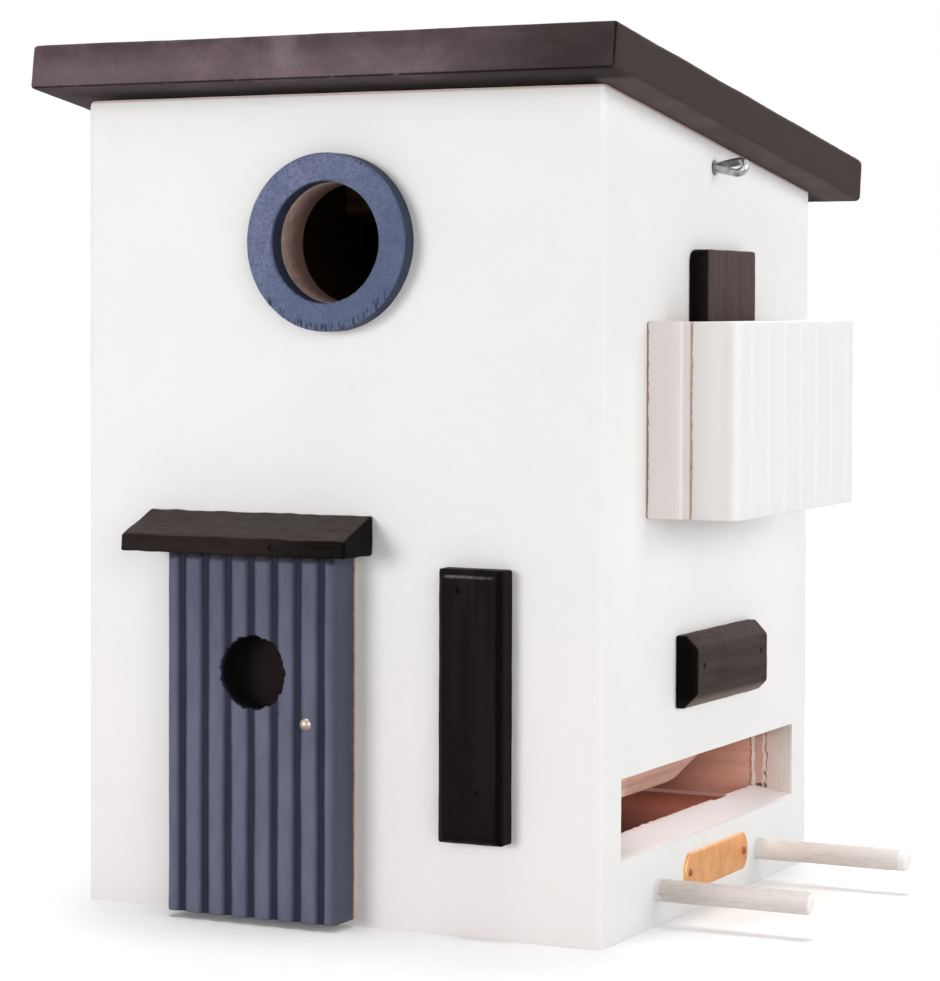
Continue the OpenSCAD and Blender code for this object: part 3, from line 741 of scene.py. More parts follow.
def back_finish():
    """The back wall: painted outside, and inside to a cracked line where the slot lets the brush in."""
    f = Finish("back_paint", Specular_IOR_Level=0.3)
    wood, wood_height = bare_wood(f, X, (0.76, 0.385, 0.29), 31.0, contrast=0.2)
    coat, coat_height = white_coat(f)
    painted = outside(f)
    at_slot = f.z.over(60, 52)
    hidden = (1 - painted) * at_slot
    across = f.x + (f.noise(2.4, 4, 0.7) - 0.5) * 2.2

    def band(start, end, soft):
        """A wavering upright band, from start to end millimetres inside the right face."""
        return across.within(right_x - start, right_x - end, soft)

    # painted shade: nearly black inside the box, above the slot
    inside_box_shade = (f.z.over(58, 75) * f.y.over(front_y + 1.2 * wall_thick, back_inner)
            * f.y.over(back_y - 2, back_y - 4))
    rim = band(12.4, 11.6, 0.2) * hidden
    raw = f.coats(
        wood,
        (0.5, (0.84, 0.44, 0.335)),
        (f.noise(1.1, 3, 0.7, 2.0).over(0.45, 0.7) * 0.3, (0.9, 0.55, 0.44)),
        # painted shade: darker away from the slot and inside the box
        (f.x.over(54, 30) * 0.75, (0.34, 0.125, 0.075)),
        (inside_box_shade * 0.93, (0.03, 0.014, 0.01)),
        (band(11.7, 8, 0.3) * at_slot, (0.70, 0.405, 0.335)),
        # painted shadow just inside the brushed line
        (band(13.1, 12.5, 0.3) * hidden * 0.45, (0.30, 0.13, 0.10)),
        (rim * 0.95, (0.93, 0.84, 0.78)))
    mask = painted.larger(across.over(right_x - 8.1, right_x - 7.8) * at_slot)
    reveal = f.y.over(back_inner + 1.2, back_inner + 0.5) * abs(f.x).over(right_x - 0.2, right_x - 0.9)
    brushed = f.noise((0.8, 0.8, 9), 3, 0.6, 15.0).over(0.4, 0.65) * 0.35
    # the slot end's thin coat is painted in a warm shade, darker further in
    thin_coat_and_shade = f.mix(f.x.over(right_x - 8, right_x - 1), (0.77, 0.59, 0.525), (0.80, 0.72, 0.685))
    coat = f.mix(reveal, coat, f.mix(brushed, thin_coat_and_shade, (0.68, 0.56, 0.50)))
    joint = f.z.within(raw_floor - 0.1, raw_floor + 0.9, 0.3) * reveal
    # painted shadow of a small gap at the foot of the crack
    notch_shadow = (f.x.within(right_x - 10.9, right_x - 8, 0.3)
             * f.z.within(floor_top + 1, floor_top + 3, 0.3))
    crack = band(8.5, 8.0, 0.2) * hidden * f.noise((1, 1, 2.2), 3, 0.6).over(0.52, 0.62)
    tone = f.coats(
        f.mix(mask, f.mix(joint, raw, (0.90, 0.60, 0.50)), coat),
        (notch_shadow * reveal * 0.85, (0.10, 0.035, 0.025)),
        (band(8.9, 8.3, 0.3) * hidden * 0.8, (0.86, 0.76, 0.68)),
        (crack * 0.8, (0.16, 0.07, 0.055)))
    height = coat_over_wood(wood_height, coat_height, mask) - crack * 0.3 + rim * 0.2
    return f.done(tone, 0.75 - 0.3 * mask, height)


back_paint = back_finish()
print("wall finishes mixed; raw floor at", round(raw_floor, 2), "mm")

# %% [markdown]
# ## The walls
# Four boards: the front and back walls run the full width, and the side walls stand between them.
# Their tops follow the slope of the roof, so each is a rounded block whose upper half is stretched or
# squeezed to the slope. Over the entrance and the pins' holes only the part above the hole is moved,
# so that the hole stays round.

# %% Make the walls
ENTRANCE_RADIUS = 16
PIN_HOLE_RADIUS = 2.1
PIN_DROP = 6.9
HOLE_SQUARE = 1.6  # half size of the open square round a hole, in hole radii
HOLE_MARGIN = 12  # width over which the stretch blends in beside a hole
WALL_CORNER = 2.2
WALL_ROUNDING = 0.03


def wall(name, directions, finish, low_end, high_end, hole=None, plan_radius=0, worn_corner=False):
    """A wall board whose top slopes from low_end (at u or w = 0) to high_end; hole is (u, v, radius)."""
    place, size = seat(name, directions)
    corners = [(extent - WALL_CORNER, extent - WALL_ROUNDING, 5) for extent in size]
    bands = ([(WALL_ROUNDING, WALL_CORNER, 5), corners[0]], [corners[1]], [corners[2]])
    above = size[1] / 2
    if hole:
        u, v, radius = hole
        half = radius * HOLE_SQUARE
        skin = holed_block(size, WALL_ROUNDING, (8, 8, 4), [(u, v)], (half, half), 14,
                           lip(radius, 0, 0.5), bands, through=True)
        beside = np.clip((abs(skin.points()[:, 0] - u) - half) / HOLE_MARGIN, 0, 1)
        above = (v + half) * (1 - beside) + above * beside
    else:
        skin = block(size, WALL_ROUNDING, (8, 8, 4), bands)
    points = skin.points()
    if worn_corner:
        left_end = points[:, 0] < size[0] / 2
        points[left_end] = round_plan(points[left_end], size, WALL_CORNER, 0, 1, both=False)
    if plan_radius:
        points = round_plan(points, size, plan_radius, 0, 2, both=False)
    axis = 2 if plan_radius else 0
    top = low_end + (high_end - low_end) * points[:, axis] / size[axis]
    lift = np.clip((points[:, 1] - above) / (size[1] - above), 0, 1)
    points[:, 1] += lift * (top - place.origin[2] - size[1])
    points = ripple(place.world(points) / MM, 55, 0.06, 4)
    fit(name, skin, Place((0, 0, 0), X, Y), finish, points)


pin_z = wall_top(0) - PIN_DROP
front_tops = wall_top(front_inner), wall_top(front_y)
back_tops = wall_top(back_inner), wall_top(back_y)
wall("front_wall", FRONT, wall_paint, *front_tops, (entrance_x - left_x, entrance_z, ENTRANCE_RADIUS),
     plan_radius=1.1, worn_corner=True)
wall("back_wall", BACK, back_paint, *back_tops, plan_radius=1.3)
wall("left_wall", LEFT, side_paint, back_tops[0], front_tops[0], (back_inner, pin_z, PIN_HOLE_RADIUS))
wall("right_wall", RIGHT, side_paint, front_tops[0], back_tops[0],
     (-front_inner, pin_z - slot_top, PIN_HOLE_RADIUS))

# %% [markdown]
# ## The boards inside
# A thick floor board, whose right edge is the painted sill of the feeding slot, two rails, and the
# nest floor that lies loose on them, all of raw wood. The sill slopes outwards, so that rain runs off,
# and its inner arris is chipped.

# %% Floor board and its sill
sill_inner = right_x - wall_thick


def sill_details(f, coat):
    """A thin pinkish coat on the slope, with painted shade at its near end and painted light at its far end,
    and chips along the inner arris.
    """
    # painted shade towards the near end of the slope, painted light at its far end
    thin_coat_and_shade = f.mix(f.y.over(42, 60), (0.69, 0.62, 0.615), (0.88, 0.80, 0.80))
    chips = f.noise((2.5, 1.6, 2.5), 3, 0.65, 6.0).over(0.5, 0.58)
    return f.coats(coat, (f.z.over(floor_top - 0.5, floor_top + 0.6), thin_coat_and_shade),
                   (f.x.over(sill_inner + 1.7, sill_inner + 0.5) * chips * 0.7, (0.66, 0.38, 0.24)))


def slope_the_sill(points, size):
    """Over the wall's thickness the top rises inwards by SILL_RISE; then it drops to the raw floor.
    The inner arris is ragged by a sum of short sine waves."""
    inward = (size[0] - points[:, 0]) / wall_thick
    share = points[:, 1] / size[1]
    draw = np.random.default_rng(21)
    waves = np.sin(points[:, 1:2] / draw.uniform(0.25, 1.2, 6) + draw.uniform(0, 6.3, 6)).sum(axis=1)
    ragged = 0.03 * waves * np.clip(inward * 6 - 5, 0, 1)
    sill = SILL_RISE * inward + 0.7 * share * (1 - inward) + ragged
    upper = np.clip((points[:, 2] - size[2]) / 4 + 1, 0, 1)
    out = points.copy()
    out[:, 2] += np.where(inward < 1.001, sill, -FLOOR_DROP) * upper
    return out


# the raw floor in the slot is tinted dark reddish as painted shade, and made lighter towards the back as
# painted light that lifts the raised sill's shadow
floor_paint = painted_board(
    "floor_paint", lambda f: f.x.over(sill_inner - 0.4, sill_inner - 0.2), X, (26, 1.6, 1.6),
    (0.21, 0.062, 0.040), 3.0, raw_shades=[(1, -5, 45, 0.9, (0.60, 0.20, 0.125))], details=sill_details)
sill_u = sill_inner - box("floor_board")[0, 0]
plain_board("floor_board", FLAT, floor_paint, 0.15, (7, 0.7, 6), slope_the_sill,
            bands=([(sill_u - 0.1, sill_u, 1), (sill_u, sill_u + 2, 2)], (), ()))

# %% [markdown]
# ## Rails and nest floor
# The right rail hangs behind the slot's upper edge. Its lower corner was cut away roughly towards the
# far end, and its near end caught a dust of white paint. Its twin on the left never shows.

# %% Rails and nest floor
def raw_finish(name, grain, tint=PINE, shift=0.0):
    """Bare wood without any coat."""
    f = Finish(name, Specular_IOR_Level=0.25)
    wood, height = bare_wood(f, grain, tint, shift)
    return f.done(wood, 0.62 + 0.25 * f.noise(4, 2), height)


def cut_lower_edge(points, size):
    """Raises the lower edge of the right rail: from the middle to 21.5 mm before the far end it climbs
    in a straight line, and the board's height shrinks to match."""
    start, end, rise = 64.0, size[0] - 21.5, 10.5
    climb = np.clip((points[:, 0] - start) / (end - start), 0, 1) * rise
    out = points.copy()
    out[:, 1] += climb * (1 - points[:, 1] / size[1])
    return out


def overspray(f):
    """White dust of paint on the near end of the right rail's outer face."""
    edge = (f.noise(3, 3, 0.7) - 0.5) * 12
    return (f.y + edge).over(-30, -46) * f.x.over(64, 64.8)


rail_wood = raw_finish("rail_wood", Y, shift=21.0)
nest_wood = raw_finish("nest_wood", Y, (0.55, 0.33, 0.19), 27.0)
batten_wood = raw_finish("batten_wood", X, (0.52, 0.30, 0.17), 33.0)
# the right rail's bare wood is tinted darker than its twin's, as painted shade under the slot's edge
rail_paint = painted_board("rail_paint", overspray, Y, (1.6, 26, 1.6), (0.212, 0.113, 0.085), 8.0,
                           shades=[(0, right_x, right_x - 1, 1, (0.55, 0.44, 0.39))])
plain_board("rail_left", LEFT, rail_wood)
plain_board("rail_right", RIGHT, rail_paint, steps=6, change=cut_lower_edge)
plain_board("nest_floor", FLAT, nest_wood, body="nest_floor_board")

# %% [markdown]
# ## The roof
# One thick board in a brown-black satin paint. Its front edge has gone cloudy and mauve, palest on
# the lower half towards the left, and its right end is darker. The arrises are well rubbed, and the
# back ones are worn round. Its underside is painted in shade that turns nearly black towards the
# walls, and painted lighter under the right overhang as lit. The battens under it are raw, and so is
# the part of the underside that closes the box.

# %% Roof finish
def roof_finish():
    """Everything is measured from the board's own lower front left corner: along it, down the slope
    and above its underside."""
    f = Finish("roof_paint", Specular_IOR_Level=0.015)
    place, (length, _, thick) = seat("roof_board", ROOF)
    low = place.origin @ place.axes.T
    along = f.x - low[0]
    down = f.y * math.cos(pitch) - f.z * math.sin(pitch) - low[1]
    above = f.y * math.sin(pitch) + f.z * math.cos(pitch) - low[2]
    front = down.over(1.2, 0.4)
    cloud = f.noise((13, 13, 9), 4, 0.62)
    streak = f.noise((26, 0.9, 0.9), 4, 0.6, 5.0)
    haze = f.noise((30, 30, 14), 3, 0.5, 3.0).over(0.6, 0.4) * 0.3
    lower_half = above.over(12, 4) * front * along.over(length - 12, length - 70)
    speckle = f.noise(0.8, 3, 0.7, 12.0).over(0.5, 0.7)
    scuff = (along + above * 0.35 + (f.noise(5, 3) - 0.5) * 4).within(79, 82, 4) * above.over(1, 5) * front
    top = above.over(thick - 1.6, thick - 0.4) * down.over(0.6, 4)
    under = above.over(0.9, 0.1)
    overhang = along.over(length - 11.5, length - 8.5) * down.over(9, 15)
    underside_shade = (down.over(1, 14) * down.over(40, 26) * along.over(1, 24)
                   * along.over(length - 6, length - 10))
    front_arris = down.over(0.7, 0.4) * above.over(0.7, 0.4)
    end_arris = along.over(length - 0.6, length - 0.3) * down.over(0.7, 0.4)
    chips = f.noise(4, 3, 0.6, 7.0).over(0.25, 0.42)
    tone = f.coats(
        (0.086, 0.061, 0.065),
        (cloud.over(0.36, 0.68), (0.138, 0.098, 0.106)),
        (haze + along.over(length - 66, length - 10) * 0.8, (0.042, 0.032, 0.032)),
        (lower_half * (0.24 + 0.22 * cloud), (0.235, 0.175, 0.187)),
        (speckle * 0.3, (0.04, 0.028, 0.028)),
        (scuff * 0.4, (0.23, 0.185, 0.19)),
        (top * 0.75, f.mix(streak.over(0.35, 0.65), (0.066, 0.048, 0.048), (0.098, 0.074, 0.075))),
        (along.over(length - 1.4, length - 0.4) * 0.9, (0.056, 0.042, 0.039)),
        # painted shade: the underside darkens to nearly black towards the walls; painted light: lighter under
        # the right overhang
        (under * (0.12 + 0.87 * underside_shade), (0.0028, 0.0012, 0.0012)),
        (under * overhang * 0.9, f.mix(cloud.over(0.35, 0.65), (0.095, 0.07, 0.067), (0.125, 0.095, 0.092))),
        (front_arris.larger(end_arris) * chips * 0.85, (0.006, 0.004, 0.004)),
        (f.noise(1.3, 2, 0.6, 9.0).over(0.74, 0.8) * 0.5, (0.01, 0.008, 0.008)))
    wood, wood_height = bare_wood(f, X, shift=14.0)
    over_box = (abs(f.x) - (right_x - wall_thick)).larger(abs(f.y) - back_inner)
    raw = (over_box + (f.noise(4, 3) - 0.5) * 3).over(0.8, -0.8) * under
    height = (streak * 0.10 + f.noise(0.7, 2, 0.5, 8.0) * 0.05) * (1 - raw) + wood_height * raw
    return f.done(f.mix(raw, tone, wood), 0.45 + 0.18 * cloud + 0.2 * raw, height)


roof_coat = roof_finish()
print("roof paint mixed")

# %% Roof board and battens
ROOF_ROUNDING, ROOF_WEAR = 1.1, 2.6
roof_place, roof_size = seat("roof_board", ROOF, (-0.6, 0, 0), (0.8, 0, 0))
worn_ends = [(extent - ROOF_WEAR, extent - ROOF_ROUNDING) for extent in roof_size]
roof_skin = block(roof_size, ROOF_ROUNDING, (3, 3, 1.6), (
    (), [(*worn_ends[1], 4)], [(ROOF_ROUNDING, ROOF_WEAR, 3), (*worn_ends[2], 3)]))
roof_points = roof_skin.points()
back_edge = roof_points[:, 1] > roof_size[1] / 2
roof_points[back_edge] = round_plan(roof_points[back_edge], roof_size, ROOF_WEAR, 1, 2)
roof_points[:, 2] *= 1 + 0.06 * roof_points[:, 1] / roof_size[1]
roof_points = ripple(ripple(roof_points, 60, 0.06, 5), 9, 0.03, 6)
fit("roof_board", roof_skin, roof_place, roof_coat, roof_points, "roof")

for batten in ("roof_batten_front", "roof_batten_back"):
    place, size = seat(batten, FRONT)
    skin = block(size - (0, size[2] * slope, 0), 0.4, (10, 4, 4))
    points = ripple(skin.points(), 45, 0.05, len(batten))
    points[:, 1] += points[:, 2] * slope
    fit(batten, skin, place, batten_wood, points, "roof")

# %% [markdown]
# ## The ring round the entrance
# A plywood ring, turned or sawn, in grey-blue satin paint with a fine orange peel. It is a profile
# turned about the hole's axis; the profile runs up the outside, round the softened rim, across the
# face and down the inside, and its radius wavers a little round the circle.

# %% Ring finish and ring
ring_place, ring_size = seat("entrance_ring", FRONT)
ring_place = ring_place.moved(ring_size[0] / 2, ring_size[1] / 2, 0)
ring_radius = ring_size[0] / 2 + 0.45


def ring_finish():
    """Grey-blue satin with an orange peel, painted shade towards the lower right and on the sides by the
    wall, nicks at the rim painted dark as shade, and a partly raw foot at the wall.
    """
    f = Finish("ring_paint", Specular_IOR_Level=0.16)
    cloud = f.noise(7, 3, 0.55)
    peel = f.noise(0.75, 3, 0.6)
    away_z = f.z - entrance_z
    from_wall = front_y - f.y
    lower_right_shade = (f.x - entrance_x - away_z).over(-22, 26)
    from_middle = square_of_distance(f, entrance_x, entrance_z)
    rim_band = from_middle.over((ring_radius - 2.6) ** 2, (ring_radius - 1.2) ** 2)
    cuts = f.noise((0.5, 5, 2.4), 1, 0.4, 4.0).over(0.54, 0.6) * away_z.over(-10, -17)
    cuts = cuts.larger(f.noise((1.0, 5, 1.4), 1, 0.4, 6.0).over(0.66, 0.7) * away_z.over(15, 20)) * rim_band
    tone = f.coats(
        (0.170, 0.197, 0.326),
        (cloud.over(0.3, 0.7), (0.217, 0.243, 0.392)),
        (peel.over(0.45, 0.58) * 0.5, (0.088, 0.112, 0.200)),
        # painted shade: darker towards the lower right, in the nicks and on the sides near the wall
        (lower_right_shade * 0.6, (0.086, 0.120, 0.212)),
        (cuts * 0.8, (0.01, 0.02, 0.045)),
        (from_wall.over(5.5, 4.6) * 0.85, (0.018, 0.030, 0.062)),
        ((from_wall + (f.noise(1.6, 3) - 0.5) * 1.2).over(0.55, 0.25), (0.2, 0.12, 0.08)))
    height = peel * 0.9 + f.noise((2.6, 5, 0.9), 3, 0.6, 8.0) * 0.6 - cuts * 0.4
    return f.done(tone, 0.42 + 0.15 * cloud, height)


def ring_wobble(angle, height):
    """Slow waves round the circle and a few small notches near the face."""
    slow = 0.05 * np.sin(3 * angle + 0.7) + 0.03 * np.sin(7 * angle + 2)
    return slow + 0.02 * np.sin(31 * angle + height)


RING_RIM = 0.7
ring_face = [(r, ring_size[2]) for r in np.linspace(ring_radius - RING_RIM - 0.8, ENTRANCE_RADIUS + 1.1, 5)]
ring_profile = [
    (ring_radius - 0.2, 0), (ring_radius, 0.2), (ring_radius, 1.8), (ring_radius, 3.4),
    *lip(ring_radius, ring_size[2], -RING_RIM, 1, 6)[::-1], *ring_face,
    *lip(ENTRANCE_RADIUS, ring_size[2], 0.6, turns=5),
    *((ENTRANCE_RADIUS, h) for h in (3.6, 1.8, 0.2)), (ENTRANCE_RADIUS + 0.2, 0), (ring_radius - 0.2, 0)]
ring_skin = Skin().wrap(turned(ring_profile, 160, ring_wobble))
fit("entrance_ring", ring_skin, ring_place, ring_finish())

# %% [markdown]
# ## The ribbed door
# A thick board with seven soft grooves, a blind porthole and a nail for a knob. The grooves are a
# change of shape of a rounded block: the outer face sinks by a cosine valley at each groove. The
# grid has a square left open, from which rows of points lead to the round porthole.

# %% Door board
GROOVE_DEPTH = 1.1
PORTHOLE_RADIUS = 19.5 / 2
PORTHOLE_FLOOR = 3.0

door_place, door_size = seat("door_panel", FRONT, (-0.8, 0, 0), (0.8, 0, 0))
door_left, _, door_bottom = door_place.origin
door_right, door_top = door_left + door_size[0], door_bottom + door_size[1]
porthole = np.array([door_size[0] / 2 + 1.0, 65.0])


def chipped_rim(points):
    """Frays the porthole's rim: each point near it moves outwards by a sum of sines of its angle round
    the hole, faded out by exp(-(distance / 0.9)^2) and below the face."""
    way = points[:, :2] - porthole
    away = np.hypot(*way.T)
    angle = np.arctan2(way[:, 1], way[:, 0])
    chip = 0.16 * np.sin(13 * angle + 1) + 0.12 * np.sin(23 * angle) + 0.1 * np.sin(37 * angle + 2)
    chip *= np.exp(-((away - PORTHOLE_RADIUS) / 0.9) ** 2) * (points[:, 2] > door_size[2] - 1.5)
    out = points.copy()
    out[:, :2] += (chip / np.maximum(away, 1))[:, None] * way
    return out


recess = lip(PORTHOLE_RADIUS, 0, 0.5)
recess += [(PORTHOLE_RADIUS, h - door_size[2]) for h in (10.5, 8.5, 6.5, 4.5, 3.1)]
recess += [(PORTHOLE_RADIUS * s, PORTHOLE_FLOOR - door_size[2]) for s in (0.97, 0.8, 0.6, 0.4, 0.2, 0)]
door_skin = holed_block(door_size, 0.4, (0.42, 1.6, 1.0), [porthole], (11.0, 11.0), 44, recess)
door_points = round_plan(chipped_rim(door_skin.points()), door_size, 2.6, 0, 2, both=False)
door_points = grooves(door_points, np.linspace(5.05, door_size[0] - 4.25, 7), GROOVE_DEPTH, door_size[2])
print("door", door_size.round(1), "mm, top at", round(door_top, 1), "mm")

# %% Door paint
def door_finish():
    """Blue-grey paint with painted shade at the top, in the grooves, on the right side and as the canopy's
    shadow; a black porthole with a painted lit patch on its floor; a raw foot at the wall.
    """
    f = Finish("door_paint", Specular_IOR_Level=0.15)
    cloud = f.noise((4, 4, 16), 4, 0.6)
    grain = f.noise((0.7, 0.7, 20), 4, 0.6)
    from_wall = front_y - f.y
    sunk = from_wall.over(12.1, 11.05) * f.x.within(door_left + 2.6, door_right - 2.9, 0.3)
    hole_x, hole_z = door_left + porthole[0], door_bottom + porthole[1]
    hole = square_of_distance(f, hole_x, hole_z).over(115, 104) * from_wall.within(2.0, 9.8, 0.6)
    porthole_lit_patch = hole * from_wall.over(3.5, 3.2) * (f.x - hole_x).over(-9, 4)
    shade = (f.z - sunk * 0.9 + (f.noise((1.5, 3, 1.5), 2) - 0.5)).over(door_top - 2.4, door_top - 1.2)
    bare = (from_wall + (f.noise(2.2, 3, 0.6) - 0.5) * 1.1).over(1.35, 1.0)
    wear_and_sheen = f.noise(1.4, 3, 0.6).over(0.68, 0.78) * (1 - hole)
    tone = f.coats(
        (0.104, 0.112, 0.167),
        (cloud.over(0.3, 0.7), (0.139, 0.138, 0.205)),
        # painted shade: darker towards the top under the canopy, in the grooves and on the right side
        (f.z.over(door_top - 50, door_top - 4) * 0.24, (0.040, 0.044, 0.070)),
        (sunk * 0.93, (0.010, 0.012, 0.026)),
        (f.x.over(door_right - 2.2, door_right - 0.3), (0.071, 0.080, 0.114)),
        (hole, (0.0022, 0.0018, 0.0026)),
        # painted light on the right of the porthole's floor
        (porthole_lit_patch, (0.014, 0.0075, 0.0085)),
        # painted shadow of the canopy along the top
        (shade * from_wall.over(10.8, 11.2) * 0.85, (0.008, 0.006, 0.008)),
        (bare, (0.60, 0.39, 0.29)),
        (wear_and_sheen * (0.2 * sunk.over(0.5, 0.1)), (0.22, 0.22, 0.28)))
    return f.done(tone, 0.45 + 0.3 * hole + 0.15 * cloud, grain * 0.09 + f.noise(0.8) * 0.05)


fit("door_panel", door_skin, door_place, door_finish(), ripple(door_points, 20, 0.05, 3))

# %% [markdown]
# ## The knob
# A bright round-headed nail. Its head is a shallow cap of a sphere with a soft rim.

# %% Metal finishes and knob
def metal_finish(name, tint, dark, roughness, metallic=0.9):
    """Metal clouded between two tints, with fine scratches."""
    f = Finish(name, Metallic=metallic)
    cloud = f.noise(1.6, 3, 0.6)
    scratches = f.noise((0.5, 0.5, 6), 3, 0.6, 5.0)
    tone = f.mix(cloud.over(0.35, 0.7), tint, dark)
    return f.done(tone, roughness + 0.22 * scratches, scratches * 0.03 + cloud * 0.03)


zinc = metal_finish("zinc", (0.55, 0.55, 0.55), (0.30, 0.30, 0.29), 0.2)
knob_metal = metal_finish("knob_metal", (0.54, 0.44, 0.385), (0.38, 0.28, 0.235), 0.2)
steel = metal_finish("nail_steel", (0.36, 0.34, 0.33), (0.14, 0.11, 0.09), 0.4)
KNOB_HEIGHT = 0.8
knob_place, knob_size = seat("door_knob", FRONT)
knob_radius = knob_size[0] / 2
knob_base = knob_size[2] - KNOB_HEIGHT
knob_profile = [(0, 0), (0.7, 0.3), (0.7, knob_base - 0.05), (knob_radius - 0.1, knob_base - 0.05),
                *dome(knob_radius, knob_base, KNOB_HEIGHT, 9), (0, knob_size[2])]
fit("door_knob", Skin().wrap(turned(knob_profile, 40)), knob_place.moved(knob_radius, knob_radius, 0),
    knob_metal)

# %% [markdown]
# ## Dark trim
# The canopy, the two window strips and the balcony's door share one brown-black paint over planed
# wood, brushed along the grain. Light and shade are painted into it on each: the canopy has grey
# fibres, and its front is painted in shade that goes black to the right, as does its right end; the
# front strip has painted highlights along its upper and lower arrises and painted black shade along
# its right bevel; the side strip's lower bevel is painted pale brown as the light reflected from
# below, and its near end black as shade.

# %% Trim finish
BLACK = (0.0012, 0.0006, 0.0006)
canopy_right, canopy_outer = box("door_canopy")[1, 0], box("door_canopy")[0, 1]
strip_low, strip_high = box("front_window")
bar_low, bar_high = box("side_window")


def trim_finish(name, along, shift=0.0, tint=(0.0045, 0.0025, 0.002), worn=(0.0095, 0.0065, 0.006),
                shades=(), shine=0.06, details=None):
    """Brown-black paint; along says which axis the grain follows. Each shade (axis, start, end, amount,
    colour) mixes in a colour between two positions on an axis, such as a darker end or a worn bevel."""
    def fine(length, width):
        return tuple(length if axis == along else width for axis in range(3))
    f = Finish(name, Specular_IOR_Level=shine)
    grain = f.noise(fine(18, 0.55), 4, 0.65, shift)
    bands = f.noise(fine(40, 3.5), 3, 0.5, shift + 2)
    nick = f.noise(fine(2.6, 0.9), 2, 0.5, shift + 4).over(0.74, 0.8)
    tone = f.coats(tint, (bands.over(0.35, 0.7), worn), (nick * 0.35, (0.06, 0.05, 0.045)))
    tone = shaded(f, tone, shades)
    if details:
        tone = f.coats(tone, *details(f))
    return f.done(tone, 0.36 + 0.22 * grain, grain * 0.14 + bands * 0.1)


def canopy_details(f):
    """Fine fibres on the top, a front painted in shade that goes black to the right, and a right end painted
    black as shade.
    """
    front = f.y.over(canopy_outer + 0.9, canopy_outer + 0.4)
    return ((f.noise((9, 0.5, 0.5), 3, 0.7, 51.0).over(0.42, 0.62) * 0.45, (0.014, 0.009, 0.008)),
            # painted shade on the front, darkest to the right, and on the right end
            (front * 0.78, (0.011, 0.006, 0.006)),
            (front * f.x.over(canopy_right - 34, canopy_right - 6) * 0.85, BLACK),
            (f.x.over(canopy_right - 1.1, canopy_right - 0.6) * 0.95, BLACK))


def strip_details(f):
    """A brown right bevel with a black stripe of painted shade along it, and painted highlights broken along
    the upper and lower arrises.
    """
    across = f.x.within(strip_low[0] + 4, strip_high[0] - 4.5, 3)
    wear_and_sheen = f.noise(2.4, 3, 0.65, 33.0).over(0.25, 0.7) * across
    upper = f.z.within(strip_high[2] - 2.0, strip_high[2] - 1.75, 0.45)
    lower = f.z.over(strip_low[2] + 0.9, strip_low[2] + 0.5)
    return ((f.x.over(strip_high[0] - 1.9, strip_high[0] - 0.5) * 0.85, (0.0115, 0.0055, 0.0055)),
            # painted shade: a black stripe along the right bevel
            (f.x.within(strip_high[0] - 1.55, strip_high[0] - 0.75, 0.5) * 0.95, BLACK),
            # painted highlights along the upper and lower arrises
            (upper * wear_and_sheen * 0.9, (0.165, 0.135, 0.142)),
            (lower * wear_and_sheen * 0.7, (0.06, 0.05, 0.038)))


painted_nail = trim_finish("painted_nail", 2, 41.0)
canopy_coat = trim_finish("canopy_paint", 0, 0.0, (0.054, 0.041, 0.037), (0.067, 0.054, 0.049),
                          shine=0.035, details=canopy_details)
strip_coat = trim_finish("strip_paint", 2, 9.0, (0.0062, 0.0045, 0.004), (0.0115, 0.009, 0.0083),
                         shine=0.03, details=strip_details)
bar_coat = trim_finish("bar_paint", 1, 17.0, (0.036, 0.023, 0.0205), (0.058, 0.040, 0.037), [
    # painted reflected light: the lower bevel is pale brown; painted shade: the near end is black
    (2, bar_high[2] - 3.9, bar_high[2] - 3.4, 0.8, (0.050, 0.027, 0.027)),
    (2, bar_low[2] + 3.4, bar_low[2] + 0.4, 0.9, (0.20, 0.155, 0.13)),
    (1, bar_low[1] + 1.9, bar_low[1] + 1.2, 0.95, BLACK)], 0.025)
print("trim paints mixed")

# %% [markdown]
# ## Canopy and strips
# The canopy is a wedge: a block whose height shrinks towards its front edge. The strips are bevelled
# by planing the outer face down towards the edges; the side strip's lower bevel was planed by hand
# and narrows towards the far end. Each finishing nail sits in a small punched dent.

# %% Canopy and strips
NAIL_DENT = [(0.95, 0.0), (0.85, -0.1), (0.78, -0.35), (0.74, -0.75), (0.5, -0.8), (0.25, -0.8), (0, -0.8)]
DENT_SQUARE = (1.3, 1.3)
CANOPY_FRONT = 4.3

place, size = seat("door_canopy", FRONT, (-0.9, 0, 0), (0.9, 0, 0))
brad_place, brad_size = seat("canopy_brad", FRONT)
nail_u, nail_v, _ = (brad_place.origin - place.origin) @ place.axes.T + brad_size / 2
squash = CANOPY_FRONT / size[1]
skin = holed_block(size, 0.8, (1.2, 0.8, 0.9), [(nail_u, nail_v / squash)], (1.25, 1.25 / squash), 8,
                   NAIL_DENT)
points = skin.points()
points[:, 1] *= 1 - (1 - squash) * points[:, 2] / size[2]
points = ripple(ripple(points, 12, 0.1, 8), 5, 0.05, 9)
fit("door_canopy", skin, place, canopy_coat, points)

place, size = seat("front_window", FRONT)
dents = [(size[0] / 2 - 2.8, size[1] - 5.3), (size[0] / 2 + 2.8, 13.5)]
skin = holed_block(size, 0.3, (0.5, 1.0, 0.6), dents, DENT_SQUARE, 8, NAIL_DENT)
points = bevel(skin.points(), size, [(0, 1.9), (1, 1.5)], 0.12)
points = ripple(round_plan(points, size, 0.8, 0, 1), 9, 0.05, 10)
fit("front_window", skin, place, strip_coat, points)

